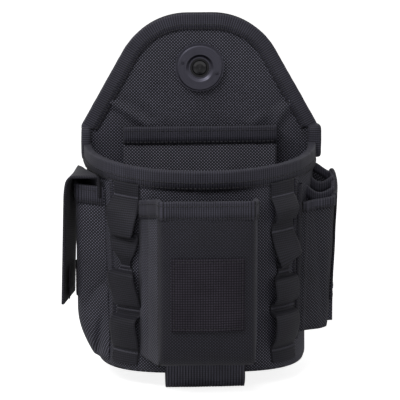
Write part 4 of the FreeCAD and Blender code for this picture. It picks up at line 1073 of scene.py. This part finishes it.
flap_columns = [spaced(flap_line(step / 14), 71) for step in range(15)]
flap_webbing = cloth("left_pocket_flap_webbing", [list(row) for row in zip(*flap_columns)])
thicken(flap_webbing, FLAP_THICK)
dress(flap_webbing, heavy_webbing, "webbing", "flap", "flap_anchor", body=None)
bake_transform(flap_webbing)


def tape_pad(name, node, body, tufts, outward):
    """A small pad of touch tape with a nap of short tufts, facing left (-1) or right (1)."""
    low, high = node_box(node)
    low.z = max(low.z, FLAP_LOW.z + PAD_INSET)
    rows = []
    for step in range(PAD_STEPS + 1):
        z = low.z + (high.z - low.z) * step / PAD_STEPS
        row = []
        for column in range(PAD_STEPS + 1):
            y = low.y + (high.y - low.y) * column / PAD_STEPS
            inset = min(y - low.y, high.y - y, z - low.z, high.z - z)
            nap = tufts * noise.noise(Vector((y, z, 0)) * 1.3)
            rise = min(1.0, inset / 0.6) * (high.x - low.x) * 0.8 + nap
            row.append(Vector((low.x + rise if outward > 0 else high.x - rise, y, z)))
        rows.append(row if outward > 0 else row[::-1])
    return dress(cloth(name, rows), touch_tape, "touch_tape", node, body=body)


tape_pad("flap_hook_tape_pad", "flap_hook_tape", "flap", 0.15, 1)
tape_pad("pocket_loop_tape_pad", "pocket_loop_tape", "pouch", 0.3, -1)


# ------------------------------------------------------------------ the right pocket
# An open pocket whose lip slopes down to the front, split by two dividers with dipped, taped lips.
# A wide webbing is sewn up its outside.  It is made and fixed like the left pocket, but its nylon is a
# darker copy with the shade of the bag's right side painted in.
RIGHT_LOW, RIGHT_HIGH = node_box("right_pocket")
RIGHT_LOW.z -= 3.0
RIGHT_FOOT_REACH, RIGHT_REACH = 102.0, RIGHT_HIGH.x
RIGHTWARD = Vector((1, 0, 0))
# (share of the pocket's line from its front seam, height of the lip there)
RIGHT_LIP = ((0.0, 131.5), (0.38, 133.0), (0.79, 147.0), (1.0, 156.0))
HEM_WIDTH = 7.0
HOLLOW_X, HOLLOW_LEAN, HOLLOW_HALF, HOLLOW_DEPTH = 96.0, 0.08, 3.5, 1.6
RIGHT_TAPE_WIDTH, RIGHT_SEAM = 6.0, 4.6
# The flange beside the pocket: angle on the wall, lowest and highest places, width, height.
FLANGE = (POCKET_FRONT_ANGLE - 2.4, 20.0, 150.0, 6.0, 3.6)
DIVIDER_SLOPE, DIVIDER_DIP, DIVIDER_TAPE_WIDTH = 6.0, 7.0, 8.0


def right_reach(height):
    """How far the right pocket stands from the pouch's middle at a height."""
    share = (height - RIGHT_LOW.z) / (RIGHT_HIGH.z - RIGHT_LOW.z)
    return RIGHT_FOOT_REACH + (RIGHT_REACH - RIGHT_FOOT_REACH) * share ** 0.7 - 0.6


def right_lip(share):
    """Height of the pocket's lip at a share of its line, from the front seam to the wall behind."""
    for (start, low), (end, high) in zip(RIGHT_LIP, RIGHT_LIP[1:]):
        if share <= end:
            return low + (high - low) * smooth_step((share - start) / (end - start))
    return RIGHT_LIP[-1][1]


def right_point(place, share):
    """A place on the pocket's sheet: its line at one height lifted to its own lip."""
    top = right_lip(place / SIDE_STEPS)
    height = RIGHT_LOW.z + (top - RIGHT_LOW.z) * share
    p = side_row(1, height, right_reach(height))[place]
    front = on_front(p, height)
    slack = rumple(p, 26.0, 1.6) + rumple(p, 11.0, 0.4)
    off_hollow = p.x - HOLLOW_X + HOLLOW_LEAN * (p.z - 60)
    hollow = HOLLOW_DEPTH * math.exp(-((off_hollow / HOLLOW_HALF) ** 2)) * front
    from_seam = p.x - on_wall(POCKET_FRONT_ANGLE, height).x
    hem = 1.5 * smooth_step(HEM_WIDTH - from_seam) * smooth_step(from_seam)
    groove = 1.1 * math.exp(-(((from_seam - HEM_WIDTH / 2) / 0.8) ** 2))
    return p + Vector((slack * 0.5 * (1 - front), hollow + groove - hem - slack * 0.6 * front, 0))


right_rows = []
for step in range(51):
    right_rows.append([right_point(place, step / 50) for place in range(SIDE_STEPS + 1)])
# A darker copy of the panel's nylon: painted shade for the side away from the key light.
right_nylon_painted_darker = ballistic_nylon("ballistic_nylon_right_side_painted_darker", "#676675", "#030304")
side_pocket("right_pocket", 1, right_rows, RIGHT_LOW.z, right_nylon_painted_darker)
# The flange takes the face's darker copy of the nylon, with painted shade.
dress(ridge("right_pocket_flange", *FLANGE), face_nylon_painted_darker, "ballistic_nylon")
right_frames = lip_frames(right_rows[-1][1:-1])
right_tape = lip_tape("right_pocket_lip_tape", right_frames, PANEL_FABRIC, RIGHT_TAPE_WIDTH)
dress(right_tape, grosgrain, "binding_tape")
stitch_lip("right_pocket_lip_stitches", right_frames, RIGHT_SEAM, TAPE + 0.3)
for node in ("right_pocket_front_divider", "right_pocket_rear_divider"):
    low, high = node_box(node)
    rows = []
    for step in range(31):
        row = []
        for column in range(25):
            across = column / 24
            x = low.x + (high.x - low.x) * across
            dip = DIVIDER_DIP * math.sin(math.pi * across) ** 1.2
            top = high.z - dip - DIVIDER_SLOPE * across
            z = low.z + (top - low.z) * step / 30
            bow = 1.5 * math.sin(math.pi * across) + rumple(Vector((x, low.y, z)), 20.0, 0.8)
            row.append(Vector((x, (low.y + high.y) / 2 - bow, z)))
        rows.append(row)
    nylon_piece(f"{node}_nylon", rows, node)
    divider_tape = lip_tape(f"{node}_tape", lip_frames(rows[-1]), PANEL_FABRIC, DIVIDER_TAPE_WIDTH)
    dress(divider_tape, grosgrain, "binding_tape")

BAND_LOW, BAND_HIGH = node_box("right_pocket_band")
BAND_THICK = 2.0
BAND_STEPS = 60
BAND_REAR_SHARE, BAND_WIDTH_SHARE = 0.79, 0.41  # of the pocket's line
band_rows = []
for step in range(BAND_STEPS + 1):
    row = []
    for column in range(15):
        y = BAND_HIGH.y + (BAND_LOW.y - BAND_HIGH.y) * column / 14
        top = right_lip(BAND_REAR_SHARE - BAND_WIDTH_SHARE * column / 14) + 0.8
        z = BAND_LOW.z + (top - BAND_LOW.z) * step / BAND_STEPS
        edge = 0.3 * math.cos(2 * math.pi * column / 14)
        bow = 0.7 * math.sin(math.pi * column / 14)
        wave = rumple(Vector((0, y * 0.4, z)), 24.0, 0.9)
        row.append(Vector((right_reach(z) + BAND_THICK + bow - edge + wave * 0.5 + 0.4, y, z)))
    band_rows.append(row[::-1])
fold = []
for step in range(1, 8):
    turn = math.pi * step / 7
    over = Vector((-2.4 * (1 - math.cos(turn)), 0, 2.6 * math.sin(turn)))
    fold.append([p + over for p in band_rows[-1]])
band_rows += fold
band_rows += [[p - UP * drop for p in fold[-1]] for drop in (4.0, 9.0, 14.0)]
band = cloth("right_pocket_webbing_band", band_rows)
thicken(band, BAND_THICK * 0.8)
dress(band, heavy_webbing, "webbing", "right_pocket_band")
for index, z in enumerate((BAND_LOW.z + 4.0, BAND_LOW.z + 12.0)):
    row = band_rows[int((z - BAND_LOW.z) / (RIGHT_LIP[2][1] - BAND_LOW.z) * BAND_STEPS)]
    path = [p + RIGHTWARD * 0.2 for p in row[1:-1]]
    stitch_row(f"right_band_stitches_{index}", path, [RIGHTWARD] * len(path))


# ------------------------------------------------------------------ the ladder webbing
# A narrow webbing runs down each side of the bag's front.  Bar tacks hold it at intervals, and
# between them it stands off in loops for tools, which lean and gather as the webbing twists.
LADDER_ANGLE = 40.0
LADDER_TAPE = 1.4
KNOT_STEPS = 7
TACK_PITCH, TACK_THREAD, TACK_SIDES = 0.62, 0.26, 5
ladder_webbing = woven_tape("ladder_nylon_webbing", "#2c2b35", "#030305", (1.8, 1.0), (1.8, 0.5), 0.35)
TACK_COLOUR = "#3c3b45"
tack_thread = bonded_thread("bar_tack_thread", TACK_COLOUR, "#5e5d68")


def ladder_point(side, along_mm, height, stand):
    """A place on or off the bag's front beside its ladder, along_mm to the right of its middle."""
    angle = side * LADDER_ANGLE
    degree = (on_wall(angle + 1.0, height) - on_wall(angle - 1.0, height)).length / 2
    spot, _, facing, _ = wall_frame(angle + along_mm / degree, max(0.0, height))
    return spot + facing * (stand + wall_cloth(spot))


def ladder_ribbon(name, side, stations, node):
    """Webbing through stations of (height left, height right, left and right edges, stand-offs)."""
    columns = []
    for column in range(15):
        share = column / 14
        knots = []
        for left_z, right_z, left_a, right_a, left_s, right_s in stations:
            along = left_a + (right_a - left_a) * share
            height = left_z + (right_z - left_z) * share
            knots.append((along, height, left_s + (right_s - left_s) * share))
        columns.append(smooth_line(knots))
    rows = [[ladder_point(side, *spot) for spot in across] for across in zip(*columns)]
    piece = cloth(name, rows[::-1])
    thicken(piece, LADDER_TAPE)
    piece.modifiers["thickness"].offset = 0.0
    return dress(piece, ladder_webbing, "webbing", node)


def between(p, q, r, s, share):
    """A value between q and r on a soft curve through p, q, r and s."""
    square = (2 * p - 5 * q + 4 * r - s) * share * share
    return 0.5 * (2 * q + (r - p) * share + square + (3 * q - p - 3 * r + s) * share ** 3)


def smooth_line(knots):
    """A soft curve through knots of any number of values."""
    knots = [knots[0]] + knots + [knots[-1]]
    found = []
    for near in zip(knots, knots[1:], knots[2:], knots[3:]):
        for step in range(KNOT_STEPS):
            found.append([between(*values, step / KNOT_STEPS) for values in zip(*near)])
    return found + [knots[-1]]


def level(height, left, right, stand_left, stand_right=None):
    """A station with both its edges at one height, and at one stand-off unless two are given."""
    stand_right = stand_left if stand_right is None else stand_right
    return (height, height, left, right, stand_left, stand_right)


LEFT_LADDER = (
    level(157.0, -12.5, 12.5, 1.0),
    level(150.0, -12.5, 12.5, 1.0),
    level(145.0, -12.5, 12.5, 0.8),
    level(141.0, -12.5, 12.5, 3.2, 1.4),
    level(134.0, -12.5, 12.5, 9.0, 2.9),
    level(126.0, -11.5, 12.5, 9.2, 7.4),
    level(118.0, -9.5, 12.0, 9.0, 9.6),
    level(113.0, -8.0, 10.5, 7.6, 9.2),
    level(112.6, -8.5, 10.5, 3.6, 3.8),
    level(114.0, -10.0, 11.5, 1.4, 1.4),
    level(109.5, -12.5, 12.5, 3.4, 1.6),
    level(104.0, -10.0, 12.0, 5.8, 3.4),
    level(97.0, -6.5, 10.0, 5.4, 4.0),
    level(91.0, -4.5, 6.5, 2.4, 2.6),
    level(86.0, -4.0, 5.0, 1.2),
    level(82.5, -7.0, 8.0, 1.6, 2.4),
    level(80.5, -12.5, 11.5, 6.4, 9.4),
    level(73.0, -12.0, 12.0, 7.4, 8.4),
    level(64.0, -10.0, 13.5, 6.6, 6.4),
    level(55.0, -8.0, 14.5, 4.6, 4.0),
    level(54.0, -8.0, 14.5, 1.6, 1.4),
    level(50.5, -8.5, 14.5, 1.0),
    level(45.5, -9.5, 13.5, 1.0),
    level(43.5, -11.5, 12.0, 4.4, 6.6),
    level(38.0, -12.0, 12.0, 6.4, 7.6),
    level(28.0, -11.5, 12.5, 6.0, 5.4),
    level(20.0, -12.5, 12.5, 4.0, 3.2),
    level(18.5, -12.5, 12.5, 1.4, 1.2),
    level(14.0, -12.5, 12.5, 0.9),
    level(8.0, -12.0, 12.5, 0.9),
    level(5.0, -11.5, 12.0, 0.9),
)
RIGHT_LADDER = (
    level(157.0, -12.5, 12.5, 1.0),
    level(148.0, -12.5, 12.5, 1.0),
    level(143.5, -12.5, 12.5, 1.4),
    level(140.0, -12.5, 12.5, 4.6, 3.6),
    level(133.0, -12.5, 12.5, 8.2, 6.2),
    level(127.0, -12.0, 12.0, 7.0, 5.4),
    level(123.5, -11.5, 11.5, 4.6, 3.4),
    level(123.0, -11.0, 11.0, 1.4, 1.2),
    level(119.0, -11.5, 11.5, 1.0),
    level(114.4, -12.5, 12.5, 0.9),
    level(111.5, -12.0, 12.5, 1.0, 1.6),
    level(106.0, -11.0, 12.5, 1.6, 5.0),
    (95.0, 97.0, -10.5, 12.5, 7.0, 8.6),
    (86.0, 94.0, -8.0, 12.0, 8.8, 8.8),
    (85.0, 92.0, -7.5, 11.0, 4.2, 4.0),
    (87.5, 91.0, -7.0, 9.5, 1.6, 1.4),
    level(80.0, -5.5, 6.5, 1.0),
    level(76.0, -8.5, 9.0, 1.6, 1.2),
    level(74.0, -12.5, 12.5, 7.4, 4.8),
    level(68.0, -12.5, 12.5, 9.0, 6.2),
    level(61.0, -11.5, 12.5, 8.6, 6.2),
    level(55.5, -12.5, 12.5, 6.0, 4.2),
    level(54.5, -12.5, 12.5, 1.8, 1.4),
    level(50.7, -12.5, 12.5, 0.9),
    level(47.5, -12.5, 12.5, 2.0, 1.4),
    level(44.5, -12.5, 12.5, 9.6, 6.2),
    level(36.0, -12.5, 12.5, 10.6, 7.2),
    level(25.0, -12.5, 12.5, 7.4, 5.0),
    level(18.5, -12.5, 12.5, 1.8, 1.4),
    level(15.0, -12.5, 12.5, 0.9),
    level(8.0, -12.5, 12.5, 0.9),
    level(5.0, -12.0, 12.0, 0.9),
)
ladder_ribbon("left_ladder_webbing", -1, LEFT_LADDER, "left_ladder")
ladder_ribbon("right_ladder_webbing", 1, RIGHT_LADDER, "right_ladder")


def bar_tacks(name, side, tacks, node):
    """Dense zigzag stitches across the webbing at each (height, left edge, right edge, lift)."""
    points, faces = [], []
    for height, left, right, lift in tacks:
        count = int((right - left) / TACK_PITCH)
        for index in range(count):
            middle = left + (right - left) * (index + 0.5) / count
            lean = 0.5 if index % 2 else -0.5
            rings = []
            for turn in BEAD_TURNS:
                z = height + 0.9 * math.cos(turn)
                across = middle + lean * 0.3 * math.cos(turn)
                centre = ladder_point(side, across, z, lift + 0.25 * math.sin(turn))
                _, along, out, _ = wall_frame(side * LADDER_ANGLE, z)
                swell = TACK_THREAD * math.sin(turn) ** 0.5
                rings.append(ring_of(centre, along, out, swell, TACK_SIDES))
            add_bead(points, faces, rings)
    return dress(mesh_piece(name, points, faces), tack_thread, "thread", node)


LEFT_TACKS = (
    (145.0, -12.0, 12.0, 1.6),
    (86.0, -4.2, 5.2, 2.0),
    (83.0, -6.0, 7.0, 2.4),
    (50.5, -8.0, 14.0, 1.8),
    (15.0, -12.0, 12.0, 1.6),
)
RIGHT_TACKS = (
    (144.5, -12.0, 12.0, 1.8),
    (114.4, -12.0, 12.0, 1.7),
    (80.0, -5.2, 6.4, 1.8),
    (50.7, -12.0, 12.0, 1.7),
    (16.0, -12.0, 12.0, 1.7),
)
bar_tacks("left_ladder_bar_tacks", -1, LEFT_TACKS, "left_bar_tacks")
bar_tacks("right_ladder_bar_tacks", 1, RIGHT_TACKS, "right_bar_tacks")


# ------------------------------------------------------------------ the loop under the bag
# A wide webbing folded into a hammer loop: its ends are sewn under the bag's front and back, and
# its ribs run along it.
LOOP_LOW, LOOP_HIGH = node_box("bottom_loop")
LOOP_LOW.x -= 1.5
LOOP_HIGH.x += 1.5
LOOP_THICK = 2.4
LOOP_RADIUS = 11.0
LOOP_RIB, LOOP_RIB_DEPTH = 2.3, 0.32
LOOP_CENTRE = Vector((0, LOOP_LOW.y + LOOP_RADIUS, LOOP_LOW.z + LOOP_RADIUS))
loop_webbing = woven_tape(
    "ribbed_loop_webbing", "#5a5966", "#0f0e12", (1.6, 0.3), (LOOP_RIB, 1.0), 0.3
)


def loop_section():
    """The loop's outer line seen from its side, from its sewn front end round its fold to the back."""
    points = [Vector((0, LOOP_LOW.y, LOOP_HIGH.z - 0.5))]
    for step in range(25):
        turn = math.pi * (1 + step / 24)
        points.append(LOOP_CENTRE + Vector((0, math.cos(turn), math.sin(turn))) * LOOP_RADIUS)
    points.append(Vector((0, points[-1].y, -1.2)))
    return spaced(points, 61)


loop_rows = []
for place in loop_section():
    row = []
    for column in range(121):
        x = LOOP_LOW.x + (LOOP_HIGH.x - LOOP_LOW.x) * column / 120
        rib = LOOP_RIB_DEPTH * abs(math.sin(math.pi * (x - LOOP_LOW.x) / LOOP_RIB)) ** 0.6
        inward = (LOOP_CENTRE - place).normalized() if place.z < LOOP_CENTRE.z else REARWARD
        wave = rumple(Vector((x, place.y, place.z)), 22.0, 0.9)
        row.append(Vector((x, place.y, place.z)) + inward * (0.4 - rib + wave * 0.5))
    loop_rows.append(row)
bottom_loop = cloth("bottom_loop_webbing", loop_rows[::-1])
thicken(bottom_loop, LOOP_THICK)
dress(bottom_loop, loop_webbing, "webbing", "bottom_loop")


# ------------------------------------------------------------------ the tabs on the bag's corners
# Short ends of folded tape sewn over the corners where the bag's seams end.
TAB_SLACK = 0.5
TAB_WRAP = 7.0
TAB_PULL = 1.6


def corner_tab(name, node):
    """A soft pad of folded tape with rounded edges."""
    low, high = node_box(node)
    if high.x < 0:
        high.x += TAB_WRAP
        low.x += TAB_PULL
    else:
        low.x -= TAB_WRAP
        high.x += TAB_PULL
    middle, half = (low + high) / 2, (high - low) / 2
    rows = []
    for step in range(33):
        turn = math.pi * (step / 32 - 0.5)
        rise, ring = math.sin(turn), math.cos(turn)
        rise = math.copysign(abs(rise) ** 0.35, rise)
        ring = abs(ring) ** 0.35
        row = []
        for corner in range(32):
            angle = 2 * math.pi * corner / 32
            x, y = math.cos(angle), math.sin(angle)
            x = math.copysign(abs(x) ** 0.6, x) * ring
            y = math.copysign(abs(y) ** 0.4, y) * ring
            p = middle + Vector((x * half.x, y * half.y, rise * half.z))
            row.append(p + Vector((rumple(p, 9.0, TAB_SLACK), 0, 0)))
        rows.append(row)
    tab = cloth(name, rows, closed=True, caps=True)
    return dress(tab, grosgrain, "binding_tape", node)


corner_tab("left_corner_tab_tape", "left_corner_tab")
corner_tab("right_corner_tab_tape", "right_corner_tab")


# ------------------------------------------------------------------ the hub
# The CAD pieces keep their shapes.  The ring, washer and barrel are turned from aluminium, bead
# blasted and black anodised; the bush and button are moulded from glass-filled nylon.
METAL_COLOUR, METAL_WORN = "#37363f", "#56555f"
PLASTIC_COLOUR = "#08070a"


def anodised_metal(name, colour_hex, worn_hex):
    """Black anodised aluminium with fine turning marks round the hub's axis."""
    material, tree, shader = finish_of(name, {"Metallic": 1.0})
    where = add(tree, "TexCoord")
    centred = add(
        tree, "VectorMath", {0: where.outputs["Object"], 1: (1.0, 0.0, 1.0)}, operation="MULTIPLY"
    )
    away = add(tree, "VectorMath", {0: centred}, operation="LENGTH")
    grain = add(
        tree,
        "TexNoise",
        {"W": away.outputs["Value"], "Scale": 2600.0, "Detail": 2.0},
        noise_dimensions="1D",
    )
    cloud = add(tree, "TexNoise", {"Vector": where.outputs["Object"], "Scale": 90.0, "Detail": 3.0})
    rough = add(
        tree,
        "MapRange",
        {
            "Value": cloud.outputs["Fac"],
            "From Min": 0.3,
            "From Max": 0.7,
            "To Min": 0.3,
            "To Max": 0.44,
        },
    )
    tree.links.new(rough.outputs[0], shader.inputs["Roughness"])
    colour = add(
        tree,
        "Mix",
        {"Factor": grain.outputs["Fac"], 6: linear(colour_hex), 7: linear(worn_hex)},
        data_type="RGBA",
    )
    tree.links.new(colour.outputs[2], shader.inputs["Base Color"])
    bump = add(tree, "Bump", {"Height": grain.outputs["Fac"], "Strength": 0.15, "Distance": 0.05 * MM})
    tree.links.new(bump.outputs[0], shader.inputs["Normal"])
    return material


def moulded_plastic(name, colour_hex, roughness):
    """Glossy moulded nylon with a faint flow mottle in its colour and roughness."""
    material, tree, shader = finish_of(name, {"Specular IOR Level": 0.5})
    where = add(tree, "TexCoord")
    flow = add(tree, "TexNoise", {"Vector": where.outputs["Object"], "Scale": 240.0, "Detail": 4.0})
    rough = add(
        tree,
        "MapRange",
        {"Value": flow.outputs["Fac"], "To Min": roughness * 0.8, "To Max": roughness * 1.3},
    )
    tree.links.new(rough.outputs[0], shader.inputs["Roughness"])
    colour = add(
        tree,
        "Mix",
        {"Factor": flow.outputs["Fac"], 6: linear(colour_hex), 7: linear("#16151a")},
        data_type="RGBA",
    )
    tree.links.new(colour.outputs[2], shader.inputs["Base Color"])
    return material


def spring_steel(name):
    """Drawn spring wire, phosphated dark grey."""
    material, tree, shader = finish_of(name, {"Metallic": 1.0, "Roughness": 0.35})
    where = add(tree, "TexCoord")
    drawn = add(tree, "TexNoise", {"Vector": where.outputs["Object"], "Scale": 500.0, "Detail": 2.0})
    colour = add(
        tree,
        "Mix",
        {"Factor": drawn.outputs["Fac"], 6: linear("#77767c"), 7: linear("#98979d")},
        data_type="RGBA",
    )
    tree.links.new(colour.outputs[2], shader.inputs["Base Color"])
    return material


hub_metal = anodised_metal("bead_blasted_black_anodised_aluminium", METAL_COLOUR, METAL_WORN)
hub_plastic = moulded_plastic("glossy_glass_filled_nylon", PLASTIC_COLOUR, 0.14)
CAD_FINISHES = {
    "hub_ring": hub_metal,
    "hub_washer": hub_metal,
    "hub_barrel": hub_metal,
    "button_bush": hub_plastic,
    "release_button": hub_plastic,
    "back_board": fibre_board,
    "bottom_board": fibre_board,
}
for node, material in CAD_FINISHES.items():
    cad_mesh = frame["nodes"][node].data
    cad_mesh.materials.clear()
    cad_mesh.materials.append(material)

# The spring is a copy of the CAD mesh, with mesh data of its own.
spring_wire = in_scene("button_spring_wire", frame["nodes"]["button_spring"].data.copy())
spring_wire.data.materials.clear()
dress(spring_wire, spring_steel("phosphated_spring_wire"), "spring_steel", "button_spring")
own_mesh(spring_wire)


# ------------------------------------------------------------------ the floor, the light and the camera
# A pale floor that only takes the pouch's shadow, soft boxes as in a studio, and a long lens.
FLOOR_DROP = 0.4
FLOOR_GLOW = 0.85  # seen by the camera, the paper shines by itself, so that only the shadow shows
FLOOR_HALF = 3.0
WHITE = (1.0, 1.0, 1.0, 1.0)
ROOM_LIGHT = 0.2
# (name, place in metres, size, power)
SOFT_BOXES = (
    ("key_soft_box", (-0.85, -0.7, 0.95), 0.6, 5.0),
    ("fill_soft_box", (1.2, -1.0, 0.5), 0.9, 0.6),
    ("top_soft_box", (-0.2, -0.6, 0.6), 0.5, 3.2),
)
LOWEST = min(CAD_BOUNDS[0].z, to_row(Vector((0, 0, LOOP_LOW.z))).z) - FLOOR_DROP * MM
CAMERA_TURN, CAMERA_RISE, CAMERA_AWAY = -3.0, 13.0, 2.2
CAMERA_LENS = 247.5
CAMERA_TARGET = Vector((-2.5, -60.0, 134.0))


def studio_floor():
    """A wide pale sheet under the pouch, with no edge in sight."""
    mesh = bpy.data.meshes.new("studio_floor")
    corners = [(-1, -1), (1, -1), (1, 1), (-1, 1)]
    points = [(x * FLOOR_HALF, y * FLOOR_HALF, LOWEST) for x, y in corners]
    mesh.from_pydata(points, [], [(0, 1, 2, 3)])
    sheet = in_scene("studio_floor", mesh)
    material, tree, shader = finish_of("matt_white_paper", {"Roughness": 0.95, "Emission Color": WHITE})
    path = add(tree, "LightPath")
    fibres = add(tree, "TexNoise", {"Scale": 300.0})
    paper = add(
        tree,
        "Mix",
        {"Factor": fibres.outputs["Fac"], 6: linear("#f4f4f4"), 7: linear("#fbfbfb")},
        data_type="RGBA",
    )
    tree.links.new(paper.outputs[2], shader.inputs["Base Color"])
    glow = add(tree, "Math", {0: path.outputs["Is Camera Ray"], 1: FLOOR_GLOW}, operation="MULTIPLY")
    tree.links.new(glow.outputs[0], shader.inputs["Emission Strength"])
    mesh.materials.append(material)


def soft_box(name, place, size, power):
    """A square area light that faces the pouch."""
    light = bpy.data.lights.new(name, "AREA")
    light.shape = "SQUARE"
    light.size = size
    light.energy = power
    lamp = in_scene(name, light)
    lamp.location = place
    lamp.rotation_euler = (to_row(CAMERA_TARGET) - Vector(place)).to_track_quat("-Z", "Y").to_euler()


def studio_world():
    """Pure white where the camera or a glossy or clear surface looks past the pouch, else soft grey."""
    world = bpy.data.worlds.new("studio")
    bpy.context.scene.world = world
    world.use_nodes = True
    tree = world.node_tree
    backdrop = tree.nodes["Background"]
    backdrop.inputs["Color"].default_value = WHITE
    path = add(tree, "LightPath")
    seen = path.outputs["Is Camera Ray"]
    for ray in ("Is Glossy Ray", "Is Transmission Ray"):
        either = add(tree, "Math", {0: seen, 1: path.outputs[ray]}, operation="MAXIMUM")
        seen = either.outputs[0]
    strength = add(tree, "MapRange", {"Value": seen, "To Min": ROOM_LIGHT, "To Max": 1.0})
    tree.links.new(strength.outputs[0], backdrop.inputs["Strength"])


def studio_camera():
    """A long lens at the pouch's front, a little left of its middle and above it."""
    lens = bpy.data.cameras.new("camera")
    lens.lens = CAMERA_LENS
    camera = in_scene("camera", lens)
    turn, rise = math.radians(CAMERA_TURN), math.radians(CAMERA_RISE)
    level_back = Vector((math.sin(turn), -math.cos(turn), 0)) * math.cos(rise)
    back = level_back + UP * math.sin(rise)
    camera.location = to_row(CAMERA_TARGET) + back * CAMERA_AWAY
    camera.rotation_euler = (-back).to_track_quat("-Z", "Y").to_euler()
    bpy.context.scene.camera = camera


studio_floor()
for box in SOFT_BOXES:
    soft_box(*box)
studio_world()
studio_camera()
bpy.context.scene.view_settings.view_transform = "Standard"
